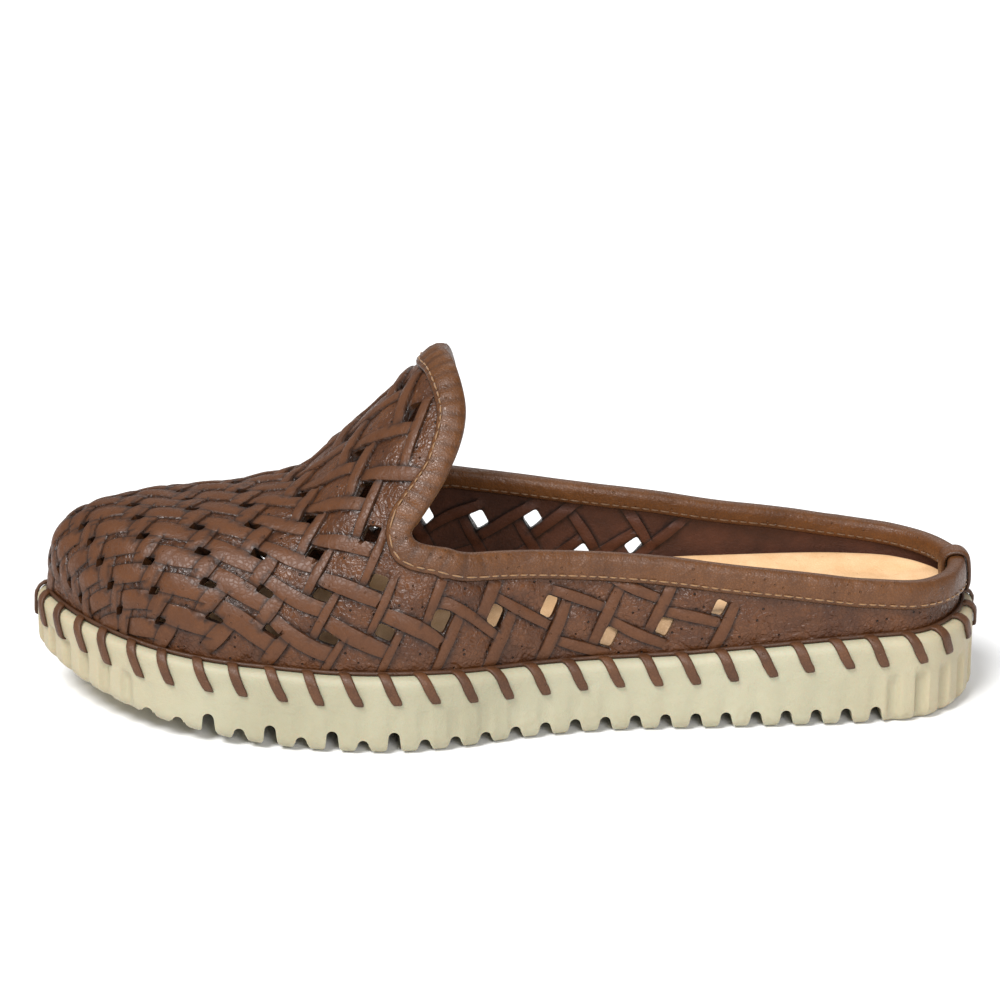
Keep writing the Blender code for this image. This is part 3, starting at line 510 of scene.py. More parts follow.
def grainGroup():
    # leather grain: pebbles with creases between them, fine pores and a slow unevenness
    group, entry, leave = newGroup(
        "Leather Grain",
        [(name, "NodeSocketFloat", value) for name, value in
         (("Pebble Size", 900.0), ("Pore Size", 2600.0), ("Amount", 1.0))],
        [(name, "NodeSocketFloat") for name in ("Height", "Creases", "Mottle", "Pinholes")])
    coords = objectCoords(group)
    bend = noiseNode(group, coords, 700.0, 2.0)
    bent = node(group, "ShaderNodeVectorMath", operation="MULTIPLY_ADD")
    bent.inputs[1].default_value = (0.9 * mm,) * 3
    group.links.new(bend.outputs["Color"], bent.inputs[0])
    group.links.new(coords, bent.inputs[2])
    pebbles = node(group, "ShaderNodeTexVoronoi", feature="DISTANCE_TO_EDGE")
    group.links.new(bent.outputs[0], pebbles.inputs["Vector"])
    group.links.new(entry.outputs["Pebble Size"], pebbles.inputs["Scale"])
    crease = rangeNode(group, pebbles.outputs["Distance"], 0.0, 0.22, 1.0, 0.0)
    pores = noiseNode(group, coords, 2600.0, 2.0)
    group.links.new(entry.outputs["Pore Size"], pores.inputs["Scale"])
    mottle = noiseNode(group, coords, 120.0, 4.0, 0.6)
    wrinkle = noiseNode(group, coords, 260.0, 2.5, 0.5, 1.1)
    height = mathNode(group, "MULTIPLY", pores.outputs["Fac"], grainParts["pores"])
    height = mathNode(group, "SUBTRACT", height, mathNode(group, "MULTIPLY", crease, grainParts["creases"]))
    for source, name in ((wrinkle, "wrinkles"), (mottle, "mottle")):
        share = mathNode(group, "MULTIPLY", source.outputs["Fac"], grainParts[name])
        height = mathNode(group, "ADD", height, share)
    holes = node(group, "ShaderNodeTexVoronoi", {"Scale": 330.0, "Randomness": 0.75}, feature="F1")
    group.links.new(coords, holes.inputs["Vector"])
    pin = rangeNode(group, holes.outputs["Distance"], 0.13, 0.07)
    height = mathNode(group, "SUBTRACT", height, mathNode(group, "MULTIPLY", pin, grainParts["pinholes"]))
    group.links.new(pin, leave.inputs["Pinholes"])
    group.links.new(mathNode(group, "MULTIPLY", height, entry.outputs["Amount"]), leave.inputs["Height"])
    group.links.new(crease, leave.inputs["Creases"])
    group.links.new(rangeNode(group, mottle.outputs["Fac"], 0.3, 0.7), leave.inputs["Mottle"])
    return group


grain = grainGroup()


def principled(name):
    material = bpy.data.materials.new(name)
    material.use_nodes = True
    tree = material.node_tree
    shader = tree.nodes["Principled BSDF"]
    return material, tree, shader


def useBump(tree, shader, height, distance):
    bump = node(tree, "ShaderNodeBump", {"Distance": distance})
    tree.links.new(height, bump.inputs["Height"])
    tree.links.new(bump.outputs["Normal"], shader.inputs["Normal"])


def leatherMaterial(look):
    material, tree, shader = principled(look["name"])
    effect = node(tree, "ShaderNodeGroup", node_tree=grain)
    setInputs(effect, {"Pebble Size": look["pebble"], "Amount": look["grain"]})
    deep = storedValue(tree, "shade")
    colour = mixNode(tree, effect.outputs["Mottle"], look["dark"], look["light"])
    creased = mathNode(tree, "MULTIPLY", effect.outputs["Creases"], look["creaseDark"])
    colour = mixNode(tree, creased, colour, look["deep"])
    strap = storedValue(tree, "strap")
    colour = mixNode(tree, mathNode(tree, "MULTIPLY", strap, 0.55), colour, look["strap"])
    plate = mathNode(tree, "SUBTRACT", look["pinholes"], mathNode(tree, "MULTIPLY", strap, look["pinholes"]))
    holed = mathNode(tree, "MULTIPLY", effect.outputs["Pinholes"], plate)
    colour = mixNode(tree, holed, colour, look["deep"])
    colour = mixNode(tree, deep, colour, look["deep"])
    tree.links.new(colour, shader.inputs["Base Color"])
    rough = rangeNode(tree, effect.outputs["Creases"], 0.0, 1.0, look["rough"], look["rough"] + 0.2)
    rough = mathNode(tree, "ADD", rough, mathNode(tree, "MULTIPLY", strap, 0.14))
    tree.links.new(rough, shader.inputs["Roughness"])
    setInputs(shader, {"Coat Weight": look["coat"], "Coat Roughness": 0.35})
    setInputs(shader, {"Specular IOR Level": look["shine"]})
    calm = rangeNode(tree, strap, 0.0, 1.0, 1.0, 0.35)
    useBump(tree, shader, mathNode(tree, "MULTIPLY", effect.outputs["Height"], calm), look["bump"])
    return material


def suedeMaterial(look):
    # the flesh side: matt and mottled with a short nap
    material, tree, shader = principled(look["name"])
    coords = objectCoords(tree)
    blotch = noiseNode(tree, coords, 90.0, 4.0, 0.6)
    nap = noiseNode(tree, coords, 1500.0, 4.0, 0.7)
    colour = mixNode(tree, rangeNode(tree, blotch.outputs["Fac"], 0.35, 0.65), look["dark"], look["light"])
    colour = mixNode(tree, mathNode(tree, "MULTIPLY", nap.outputs["Fac"], 0.35), colour, look["dust"])
    strap = storedValue(tree, "strap")
    colour = mixNode(tree, mathNode(tree, "MULTIPLY", strap, 0.7), colour, look["strap"])
    deep = storedValue(tree, "shade")
    colour = mixNode(tree, deep, colour, look["deep"])
    tree.links.new(colour, shader.inputs["Base Color"])
    setInputs(shader, {"Roughness": look["rough"], "Specular IOR Level": 0.35})
    useBump(tree, shader, nap.outputs["Fac"], 0.3 * mm)
    return material


def rubberMaterial(look):
    # cream rubber, a little warmer at toe and heel, with scuffs low down and a faint moulded skin
    material, tree, shader = principled(look["name"])
    coords = objectCoords(tree)
    parts = node(tree, "ShaderNodeSeparateXYZ")
    tree.links.new(coords, parts.inputs[0])
    cloud = noiseNode(tree, coords, 22.0, 4.0, 0.6)
    speck = noiseNode(tree, coords, 500.0, 3.0, 0.6)
    skin = noiseNode(tree, coords, 1900.0, 3.0, 0.6)
    ends = rangeNode(tree, mathNode(tree, "ABSOLUTE", parts.outputs["X"], 0.0), 0.085, 0.13)
    colour = mixNode(tree, rangeNode(tree, cloud.outputs["Fac"], 0.35, 0.65), look["dark"], look["light"])
    colour = mixNode(tree, mathNode(tree, "MULTIPLY", ends, 0.7), colour, look["warm"])
    low = rangeNode(tree, parts.outputs["Z"], 0.009, 0.0)
    worn = mathNode(tree, "MULTIPLY", low, rangeNode(tree, speck.outputs["Fac"], 0.45, 0.7))
    colour = mixNode(tree, mathNode(tree, "MULTIPLY", worn, 0.5), colour, look["dirt"])
    tree.links.new(colour, shader.inputs["Base Color"])
    rough = rangeNode(tree, speck.outputs["Fac"], 0.3, 0.7, 0.48, 0.62)
    tree.links.new(rough, shader.inputs["Roughness"])
    setInputs(shader, {"Subsurface Weight": 0.12, "Subsurface Scale": 4 * mm})
    height = mathNode(tree, "ADD", skin.outputs["Fac"], mathNode(tree, "MULTIPLY", speck.outputs["Fac"], 1.5))
    useBump(tree, shader, height, 0.12 * mm)
    return material


def threadMaterial(look):
    material, tree, shader = principled(look["name"])
    coords = objectCoords(tree)
    fibre = noiseNode(tree, coords, 3000.0, 2.0)
    colour = mixNode(tree, fibre.outputs["Fac"], look["dark"], look["light"])
    tree.links.new(colour, shader.inputs["Base Color"])
    setInputs(shader, {"Roughness": 0.6, "Sheen Weight": 0.3})
    useBump(tree, shader, fibre.outputs["Fac"], 0.1 * mm)
    return material


brown = leatherMaterial({
    "name": "Brown Leather", "dark": (0.054, 0.017, 0.005, 1), "light": (0.110, 0.039, 0.012, 1),
    "strap": (0.094, 0.031, 0.007, 1), "deep": (0.009, 0.003, 0.001, 1), "creaseDark": 0.22, "rough": 0.28,
    "coat": 0.0, "shine": 0.38, "pinholes": 0.9, "pebble": 700.0, "grain": 1.0, "bump": 0.5 * mm,
})
edgeLeather = leatherMaterial({
    "name": "Binding Leather", "dark": (0.086, 0.029, 0.006, 1), "light": (0.132, 0.047, 0.010, 1),
    "strap": (0.2, 0.08, 0.03, 1), "deep": (0.014, 0.005, 0.002, 1), "creaseDark": 0.3, "rough": 0.36,
    "coat": 0.05, "shine": 0.4, "pinholes": 0.0, "pebble": 1300.0, "grain": 0.7, "bump": 0.4 * mm,
})
laceLeather = leatherMaterial({
    "name": "Lace Leather", "dark": (0.066, 0.024, 0.008, 1), "light": (0.112, 0.043, 0.015, 1),
    "strap": (0.15, 0.06, 0.025, 1), "deep": (0.014, 0.005, 0.002, 1), "creaseDark": 0.3, "rough": 0.42,
    "coat": 0.0, "shine": 0.4, "pinholes": 0.0, "pebble": 1500.0, "grain": 0.7, "bump": 0.2 * mm,
})
tan = leatherMaterial({
    "name": "Tan Leather", "dark": (0.66, 0.40, 0.20, 1), "light": (0.80, 0.53, 0.30, 1),
    "strap": (0.7, 0.45, 0.25, 1), "deep": (0.36, 0.18, 0.07, 1), "creaseDark": 0.18, "rough": 0.5,
    "coat": 0.0, "shine": 0.4, "pinholes": 0.0, "pebble": 1400.0, "grain": 0.6, "bump": 0.15 * mm,
})
suede = suedeMaterial({
    "name": "Flesh Side", "dark": (0.028, 0.008, 0.004, 1), "light": (0.070, 0.022, 0.011, 1),
    "dust": (0.09, 0.034, 0.018, 1), "strap": (0.075, 0.023, 0.010, 1), "deep": (0.005, 0.002, 0.001, 1),
    "rough": 0.55,
})
rubber = rubberMaterial({
    "name": "Cream Rubber", "dark": (0.325, 0.30, 0.20, 1), "light": (0.39, 0.365, 0.255, 1),
    "warm": (0.42, 0.345, 0.215, 1), "dirt": (0.30, 0.25, 0.15, 1),
})
thread = threadMaterial({
    "name": "Golden Thread", "dark": (0.15, 0.07, 0.022, 1), "light": (0.32, 0.17, 0.065, 1),
})
# the same golden thread with painted shade, for the inner row that lies in shade inside the collar
shadedThread = threadMaterial({
    "name": "Golden Thread In Painted Shade", "dark": (0.07, 0.03, 0.01, 1), "light": (0.16, 0.08, 0.03, 1),
})
print("materials made")


# Woven upper

weave = {
    "start": 0.7057,               # share of the length at column nought
    "pitch": 15.15 * mm, "lean": 1.5 * mm, "rowPhase": 0.25, "reachShare": 0.84, "endShare": 0.265,
    "columns": (-6, 7), "rows": (-6, 6), "downOffset": 0.376, "upOffset": 0.284,
    "strapWidth": 3.0 * mm, "toeStrapWidth": 5.0 * mm, "strapRise": 1.3 * mm, "topEdge": 0.95,
    "strapGap": 0.35 * mm,
    "plateRise": 0.55 * mm, "plateReach": (1.5 * mm, 6.8 * mm), "bow": 0.35 * mm, "swell": 0.16,
    "partStrapWidth": 2.7 * mm,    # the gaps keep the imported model's strap
    "gapFootRoom": 2.4 * mm, "strapFootRoom": 3 * mm, "collarMargin": 6.9 * mm,
    "smallestGap": 3.5 * mm * mm, "shortestEdge": 0.9 * mm,
    "pointStep": 1.35 * mm,        # spacing of the leather's points
    "footDepth": 2.5 * mm, "cornerShare": 0.22,
    "gapSink": 0.35 * mm, "liningRelief": 0.85, "collarFade": (5.9 * mm, 7.4 * mm), "footFade": 2.2 * mm,
    "rippleWide": 0.35 * mm, "rippleFine": 0.10 * mm, "sharpAngle": 42,
}


def weavePoint(column, row):
    p = along(weave["start"]) + weave["pitch"] * column + weave["lean"] * (row - 3)
    side = -1 if row > 0 else 1
    reach = girth([max(p, along(weave["reachShare"]))], [side * mm])[0]
    return np.array([p, -row * float(weaveTable(shareAt(p))) * reach])


def downLine(column, row):
    return weavePoint(column, row - weave["downOffset"]), weavePoint(column + 1, row + weave["downOffset"])


def upLine(column, row):
    return weavePoint(column + weave["upOffset"], row), weavePoint(column - weave["upOffset"], row + 1)


def shifted(line, distance):
    start, end = line
    ahead = unit(end - start)
    return start + distance * np.array([-ahead[1], ahead[0]]), ahead


def crossing(first, second):
    (a, u), (b, v) = first, second
    return a + u * ((b[0] - a[0]) * v[1] - (b[1] - a[1]) * v[0]) / (u[0] * v[1] - u[1] * v[0])


def patch(above, right, below, left):
    sides = (left, above, right, below)
    return np.array([crossing(sides[i], sides[(i + 1) % 4]) for i in range(4)])


def gapPatch(column, row):
    off = weave["partStrapWidth"] / 2 + weave["strapGap"]
    return patch(shifted(downLine(column, row), -off), shifted(upLine(column, row), -off),
                 shifted(downLine(column - 1, row), off), shifted(upLine(column, row - 1), off))


def downPatch(column, row, half):
    off = half + weave["strapGap"]
    line = downLine(column, row)
    return patch(shifted(line, half), shifted(upLine(column + 1, row), -off),
                 shifted(line, -half), shifted(upLine(column, row - 1), off))


def upPatch(column, row, half):
    off = half + weave["strapGap"]
    line = upLine(column, row)
    return patch(shifted(downLine(column, row), -off), shifted(line, half),
                 shifted(downLine(column - 1, row + 1), off), shifted(line, -half))


def onWeave(corners, test, footRoom):
    # whether a patch is large enough and its test points lie on the woven leather
    if np.linalg.norm(corners - np.roll(corners, -1, 0), axis=1).min() < weave["shortestEdge"]:
        return False
    if corners[:, 0].max() > along(weave["endShare"]) or insideLoop(test, collar).any():
        return False
    return aboveFoot(test).min() >= footRoom and nearestTo(test, collar).min() > weave["collarMargin"]


def weaveCells():
    for column in range(weave["columns"][0], weave["columns"][1] + 1):
        for row in np.arange(weave["rows"][0], weave["rows"][1] + 1) + weave["rowPhase"]:
            yield column, row


def weavePatches():
    gaps, downs, ups = [], [], []
    half = weave["strapWidth"] / 2
    for column, row in weaveCells():
        gap = gapPatch(column, row)
        x, y = gap.T
        area = 0.5 * abs(np.dot(x, np.roll(y, -1)) - np.dot(y, np.roll(x, -1)))
        border = np.vstack([gap, 0.5 * (gap + np.roll(gap, -1, 0))])
        if area > weave["smallestGap"] and onWeave(gap, border, weave["gapFootRoom"]):
            gaps.append(gap)
        # only a strap's middle counts, as its ends fade under the binding and the rim
        for kept, strap in ((downs, downPatch(column, row, half)), (ups, upPatch(column, row, half))):
            if onWeave(strap, strap.mean(0)[None], weave["strapFootRoom"]):
                kept.append(strap)
    return gaps, downs, ups


def roundedPatch(corners, steps=3):
    points = []
    for i in range(4):
        before, corner, after = corners[i - 1], corners[i], corners[(i + 1) % 4]
        first = corner + weave["cornerShare"] * (before - corner)
        last = corner + weave["cornerShare"] * (after - corner)
        for k in range(steps + 1):
            s = k / steps
            points.append((1 - s) ** 2 * first + 2 * s * (1 - s) * corner + s * s * last)
    return np.array(points)


def middleLine(corners):
    # where a strap starts and ends, on the middle of its two short sides
    if np.linalg.norm(corners[0] - corners[1]) < np.linalg.norm(corners[1] - corners[2]):
        return 0.5 * (corners[0] + corners[1]), 0.5 * (corners[2] + corners[3])
    return 0.5 * (corners[0] + corners[3]), 0.5 * (corners[1] + corners[2])


def patchField(points, corners):
    # for points near a strap: distance across from its middle line and place along it from 0 to 1
    start, end = middleLine(corners)
    axis = end - start
    length = np.linalg.norm(axis)
    axis = axis / length
    rel = points - start
    return rel @ np.array([-axis[1], axis[0]]), (rel @ axis) / length, length


def halfWidth(strap):
    # straps widen into broad leaves toward the toe
    toward = float(smoothStep(shareAt(strap[:, 0].mean()), 0.69, 0.80))
    return 0.5 * (weave["strapWidth"] + (weave["toeStrapWidth"] - weave["strapWidth"]) * toward)


def strapEdge(strap, place, off):
    # distance of a strap's edge from its middle line, as hand cut straps bow and swell
    middle = strap.mean(0)
    bow = weave["bow"] * math.sin(middle[0] * 911 + middle[1] * 613)
    swell = 1 + weave["swell"] * (np.sin(math.pi * place) - 0.6)
    return bow * np.sin(math.pi * place) + off * halfWidth(strap) * swell


def strapRelief(points, strap, diveStart, diveEnd):
    # height, and how much painted shadow beside its edges and at its ends, most where it dives under a
    # crossing strap, that one strap gives to the points round it
    half = halfWidth(strap)
    across, place, length = patchField(points, strap)
    near = (abs(across) < half * 2.2) & (place > -0.12) & (place < 1.12)
    height = np.zeros(len(points))
    strapShadow = np.zeros(len(points))
    if not near.any():
        return height, strapShadow
    s = place[near]
    along01 = np.clip(s, 0, 1)
    centre, edge = strapEdge(strap, along01, 0), strapEdge(strap, along01, 1)
    a = abs(across[near] - centre) / (edge - centre)
    crown = (a < weave["topEdge"] + 0.01) * (0.78 + 0.22 * (1 - np.clip(a, 0, 1) ** 2))
    reach = 0.5 * mm / length
    inLength = (s > -reach) & (s < 1 + reach)
    dip = 1 - diveStart * (1 - smoothStep(s, -reach, 0.30)) - diveEnd * (1 - smoothStep(1 - s, -reach, 0.30))
    arched = 0.85 + 0.15 * np.sin(math.pi * np.clip(s, 0, 1))
    height[near] = weave["strapRise"] * crown * inLength * dip * arched
    # painted shadow just outside the strap's edges, fainter on the strap itself
    strapShadow[near] = 1.15 * np.exp(-((a - 1.1) / 0.18) ** 2) * np.where(a < 1, 0.35, 1)
    strapShadow[near] *= smoothStep(s, -0.1, 0.02) * smoothStep(1 - s, -0.1, 0.02)
    # painted shadow at the strap's ends, where it dives under the crossing strap
    under = diveStart * np.exp(-(np.clip(s, 0, 1) * length / (0.8 * mm)) ** 2)
    under = np.maximum(under, diveEnd * np.exp(-(np.clip(1 - s, 0, 1) * length / (0.8 * mm)) ** 2))
    strapShadow[near] = np.maximum(strapShadow[near], under * inLength * (a < 1) * 1.1)
    return height, strapShadow


def makeUpper():
    gaps, downs, ups = weavePatches()
    foot = flatOfFoot(evenly(footLine, 420), weave["footDepth"])
    ring = collar[::2]
    low, high = foot.min(0), foot.max(0)
    step = weave["pointStep"]
    grid = []
    for j, y in enumerate(np.arange(low[1], high[1], step * 0.866)):
        x = np.arange(low[0], high[0], step) + (j % 2) * step / 2
        grid.append(np.stack([x, np.full(len(x), y)], 1))
    grid = np.vstack(grid)
    keep = insideLoop(grid, foot) & ~insideLoop(grid, collar[::4])
    grid = grid[keep]
    grid = grid[(nearestTo(grid, ring) > 0.55 * step) & (nearestTo(grid, foot) > 0.55 * step)]
    rounds = [roundedPatch(gap) for gap in gaps]
    # edges of straps are lines of the mesh, so that their sides stay sharp
    gapEdges = np.vstack(rounds)
    rails = []
    for strap in downs + ups:
        start, end = middleLine(strap)
        axis = unit(end - start)
        side = np.array([-axis[1], axis[0]])
        count = max(3, int(np.linalg.norm(end - start) / (0.9 * mm)))
        ahead = np.linspace(0, 1, count)
        for off in (-1.04, -weave["topEdge"], weave["topEdge"], 1.04):
            line = start + ahead[:, None] * (end - start) + strapEdge(strap, ahead, off)[:, None] * side
            clear = insideLoop(line, foot) & ~insideLoop(line, collar[::4])
            clear &= nearestTo(line, gapEdges) > 0.12 * mm
            for gap in rounds:
                if np.linalg.norm(gap.mean(0) - line.mean(0)) < 16 * mm:
                    clear &= ~insideLoop(line, gap)
            rails.append((line, clear))
    railPoints = np.vstack([line[clear] for line, clear in rails])
    inGap = np.any([insideLoop(grid, gap) for gap in rounds], axis=0)
    grid = grid[~inGap]
    grid = grid[nearestTo(grid, np.vstack([railPoints, np.vstack(rounds)])) > 0.45 * mm]
    points, edges = [], []
    for loop in [foot, ring] + rounds:
        start, count = len(points), len(loop)
        points += [tuple(point / mm) for point in loop]
        edges += [(start + i, start + (i + 1) % count) for i in range(count)]
    for line, clear in rails:
        start = len(points)
        points += [tuple(point / mm) for point in line[clear]]
        number = np.cumsum(clear) - 1
        for i in range(len(line) - 1):
            if clear[i] and clear[i + 1]:
                edges.append((start + int(number[i]), start + int(number[i + 1])))
    points += [tuple(point / mm) for point in grid]
    found, _, triangles, *_ = delaunay_2d_cdt(points, edges, [], 0, 1e-4)
    flat = np.array([tuple(point) for point in found]) * mm
    triangles = np.array([tuple(t) for t in triangles])
    middle = flat[triangles].mean(1)
    keep = insideLoop(middle, foot) & ~insideLoop(middle, ring)
    for gap in rounds:
        near = np.linalg.norm(middle - gap.mean(0), axis=1) < 12 * mm
        keep[near] &= ~insideLoop(middle[near], gap)
    triangles = triangles[keep]

    # relief: plates swell between the straps, down straps lie over up straps at one end and dive at the other
    height = np.zeros(len(flat))
    # painted shade: each strap's shadow on its neighbours, and more round the gaps and along the foot below
    shade = np.zeros(len(flat))
    for straps, dives in ((ups, (0.15, 0.6)), (downs, (0.6, 0.15))):
        for strap in straps:
            rise, strapShadow = strapRelief(flat, strap, *dives)
            height = np.maximum(height, rise)
            shade = np.maximum(shade, strapShadow)
    collarEdge = nearestTo(flat, ring)
    footEdge = aboveFoot(flat)
    height *= smoothStep(collarEdge, *weave["collarFade"]) * smoothStep(footEdge, 0.0, weave["footFade"])
    onStrap = height > 0.12 * mm
    gapEdge = nearestTo(flat, gapEdges)
    swell = np.zeros(len(flat))
    for column, row in weaveCells():
        centre = weavePoint(column + 0.5, row + 0.5)
        if centre[0] > along(weave["endShare"] - 0.03):
            continue
        distance = np.linalg.norm((flat - centre) / np.array([1.0, 0.9]), axis=1)
        swell = np.maximum(swell, 1 - smoothStep(distance, *weave["plateReach"]))
    inWeave = smoothStep(collarEdge, 5 * mm, 10 * mm) * smoothStep(footEdge, 0.5 * mm, 3 * mm)
    swell *= inWeave
    height = np.where(onStrap, height, weave["plateRise"] * swell)
    height -= weave["gapSink"] * np.exp(-(gapEdge / (0.8 * mm)) ** 2) * ~onStrap
    # the plain leather waves softly, more at the vamp's peak and the quarter
    ripple = waves(flat, 7, 26 * mm) * weave["rippleWide"]
    ripple += waves(flat[:, ::-1], 5, 9 * mm) * weave["rippleFine"]
    height += ripple * smoothStep(footEdge, 1 * mm, 8 * mm) * smoothStep(collarEdge, 2 * mm, 8 * mm)
    # painted shade round the edges of the gaps and in the corner where the upper meets the sole
    atGap = np.exp(-(gapEdge / (0.7 * mm)) ** 2)
    atFoot = 1 - smoothStep(footEdge, -0.5 * mm, 1.6 * mm)
    shade = np.clip(shade * 0.8 + 0.35 * atGap + 0.5 * atFoot, 0, 1)
    outer = liftOff(flat, height)
    relief = weave["liningRelief"] * smoothStep(footEdge, 12 * mm, 16 * mm)
    inside = -shoe["wall"] - relief * np.where(onStrap, height, 0)
    inner = liftOff(flat, inside)
    count = len(flat)
    faces = [tuple(map(int, t)) for t in triangles]
    beside = {}
    for t in triangles:
        for i in range(3):
            edge = tuple(sorted((int(t[i]), int(t[(i + 1) % 3]))))
            beside[edge] = beside.get(edge, 0) + 1
    sides = [(a, b, b + count, a + count) for (a, b), uses in beside.items() if uses == 1]
    lining = [tuple(int(i) + count for i in t[::-1]) for t in triangles]
    skin = putMesh("woven_upper", np.vstack([outer, inner]), faces + lining + sides, [brown, suede])
    slots = np.zeros(len(skin.data.polygons), np.int32)
    slots[len(faces):len(faces) + len(lining)] = 1
    skin.data.polygons.foreach_set("material_index", slots)
    storeValues(skin, "shade", np.concatenate([shade, shade]))
    storeValues(skin, "strap", np.concatenate([onStrap, onStrap]))
    skin.data.set_sharp_from_angle(angle=math.radians(weave["sharpAngle"]))
    place(skin, "brown_leather", "upper")
    print("upper:", len(gaps), "gaps,", len(downs) + len(ups), "straps,", len(skin.data.polygons), "faces")


makeUpper()


# Collar binding, folded over the edge and puckered round the throat's curve

binding = {
    "gap": 0.45 * mm, "thick": 1.2 * mm, "outerFlap": 6.2 * mm, "innerFlap": 4.2 * mm,
    "pucker": 0.30 * mm, "puckerPitch": 4.2 * mm, "ripple": 0.12 * mm,
    "stitchInset": 1.15 * mm, "stitchPitch": 2.9 * mm, "stitchLength": 2.1 * mm, "stitchRadius": 0.24 * mm,
}


def bindingSection():
    # out from the last and beyond the collar's edge, round the folded strip
    out, back, thick = binding["gap"], -shoe["wall"] - binding["gap"], binding["thick"]
    outer, inner = binding["outerFlap"], binding["innerFlap"]
    return np.array([
        (out, shoe["fit"]), (out, -outer * 0.5), (out, -outer + 0.1 * thick),
        (out + 0.35 * thick, -outer - 0.05 * thick), (out + 0.8 * thick, -outer + 0.25 * thick),
        (out + 0.97 * thick, -0.7 * outer), (out + 1.05 * thick, -0.4 * outer),
        (out + thick, -0.12 * outer), (out + 0.72 * thick, shoe["fit"] + 0.45 * thick),
        (out + 0.1 * thick, shoe["fit"] + 0.95 * thick), (0.5 * (out + back), shoe["fit"] + 1.12 * thick),
        (back - 0.1 * thick, shoe["fit"] + 0.95 * thick), (back - 0.72 * thick, shoe["fit"] + 0.45 * thick),
        (back - thick, -0.15 * inner), (back - 0.97 * thick, -0.6 * inner),
        (back - 0.8 * thick, -inner + 0.25 * thick), (back - 0.35 * thick, -inner - 0.05 * thick),
        (back, -inner + 0.1 * thick), (back, -0.5 * inner), (back, shoe["fit"]),
    ])


def throatShare(places):
    # 1 round the throat's tight curve, 0 along the topline and the heel
    return 1 - smoothStep(abs(places[:, 0] + 24 * mm), 8 * mm, 26 * mm)


def makeBinding():
    stations = np.arange(len(collar))
    section = bindingSection()
    walked = stations / len(collar) * collarLength
    tight = throatShare(lastPoint(*collar.T))
    rows, deep = [], []
    for out, beyond in section:
        outside = smoothStep(out, 0.3 * mm, 1.2 * mm)
        down = np.clip(-beyond / binding["outerFlap"], 0, 1)
        wander = 1.5 * np.sin(walked / (9 * mm)) + 0.8 * down
        wave = np.sin(2 * math.pi * walked / binding["puckerPitch"] + wander)
        fade = 0.35 + 0.65 * np.sin(math.pi * min(1, down + 0.25))
        lift = outside * (0.15 + 0.85 * tight) * binding["pucker"] * (0.5 + 0.5 * wave) * fade
        lift += outside * binding["ripple"] * np.sin(2 * math.pi * walked / (13 * mm) + 2 * down)
        rows.append(liftOff(beyondCollar(stations, np.full(len(stations), beyond)), out + lift))
        lip = 0.6 if -beyond > binding["outerFlap"] * 0.96 else 0
        # painted shade in the pucker's troughs, and a darker line along the outer flap's lower edge
        deep.append(outside * (0.12 + 0.5 * tight) * smoothStep(-wave, 0.2, 1.0) * 0.5 + lip)
    count = len(stations)
    faces = tube(0, count, len(rows)) + band((len(rows) - 1) * count, 0, count)
    piece = putMesh("collar_binding", np.vstack(rows), faces, [edgeLeather])
    storeValues(piece, "shade", np.clip(np.concatenate(deep), 0, 1))
    place(piece, "binding_leather", "topline_binding")


def capsule(start, end, normal, radius, places, faces, rings=5, sides=6):
    # one stitch: its ends sink into the leather and its middle stands a little proud
    axis = unit(end - start)
    length = np.linalg.norm(end - start)
    side = unit(np.cross(normal, axis))
    first = len(places)
    for k in range(rings):
        s = k / (rings - 1)
        bulge = math.sin(math.pi * s)
        centre = start + axis * length * s + normal * radius * (1.15 * bulge - 0.75)
        size = radius * (0.55 + 0.45 * bulge ** 0.5)
        for j in range(sides):
            turn = 2 * math.pi * j / sides
            places.append(centre + size * (math.cos(turn) * side + math.sin(turn) * normal))
    faces += tube(first, sides, rings, True)


def stitchRow(beyond, out, raised, places, faces):
    # raised is above nought on the outside and below nought on the inside, where stitches face the foot
    facing = 1 if raised > 0 else -1
    half = binding["stitchLength"] / 2
    perStation = collarLength / len(collar)
    for number in range(int(collarLength / binding["stitchPitch"])):
        middle = (number + (0 if facing > 0 else 0.5)) * binding["stitchPitch"]
        tips = []
        for side in (-1, 1):
            at = int(round((middle + side * half) / perStation)) % len(collar)
            flat = beyondCollar(np.array([at]), np.array([beyond]))
            tips.append(liftOff(flat, out)[0])
            if side < 0:
                away = lastNormal(*flat.T)[0]
        tight = float(throatShare(tips[0][None])[0])
        lift = facing * abs(raised) * ((0.15 + 0.85 * tight) if facing > 0 else 1) * away
        capsule(tips[0] + lift, tips[1] + lift, facing * away, binding["stitchRadius"], places, faces)


def makeBindingStitches():
    places, faces = [], []
    outside = binding["gap"] + binding["thick"] * 1.02
    inside = -shoe["wall"] - binding["gap"] - binding["thick"] * 0.95
    stitchRow(binding["stitchInset"] - binding["outerFlap"], outside, binding["pucker"] * 0.5, places, faces)
    outerCount = len(faces)
    stitchRow(binding["stitchInset"] - binding["innerFlap"], inside, -0.05 * mm, places, faces)
    piece = putMesh("binding_stitches", places, faces, [thread, shadedThread])
    # the inner row's stitches take the thread with painted shade
    inner = np.arange(len(faces)) >= outerCount
    piece.data.polygons.foreach_set("material_index", inner.astype(np.int32))
    place(piece, "binding_leather")


makeBinding()
makeBindingStitches()
print("binding made")


# Heel strip

heelStrip = {"width": 7.5 * mm, "thick": 1.2 * mm, "clear": 0.5 * mm}


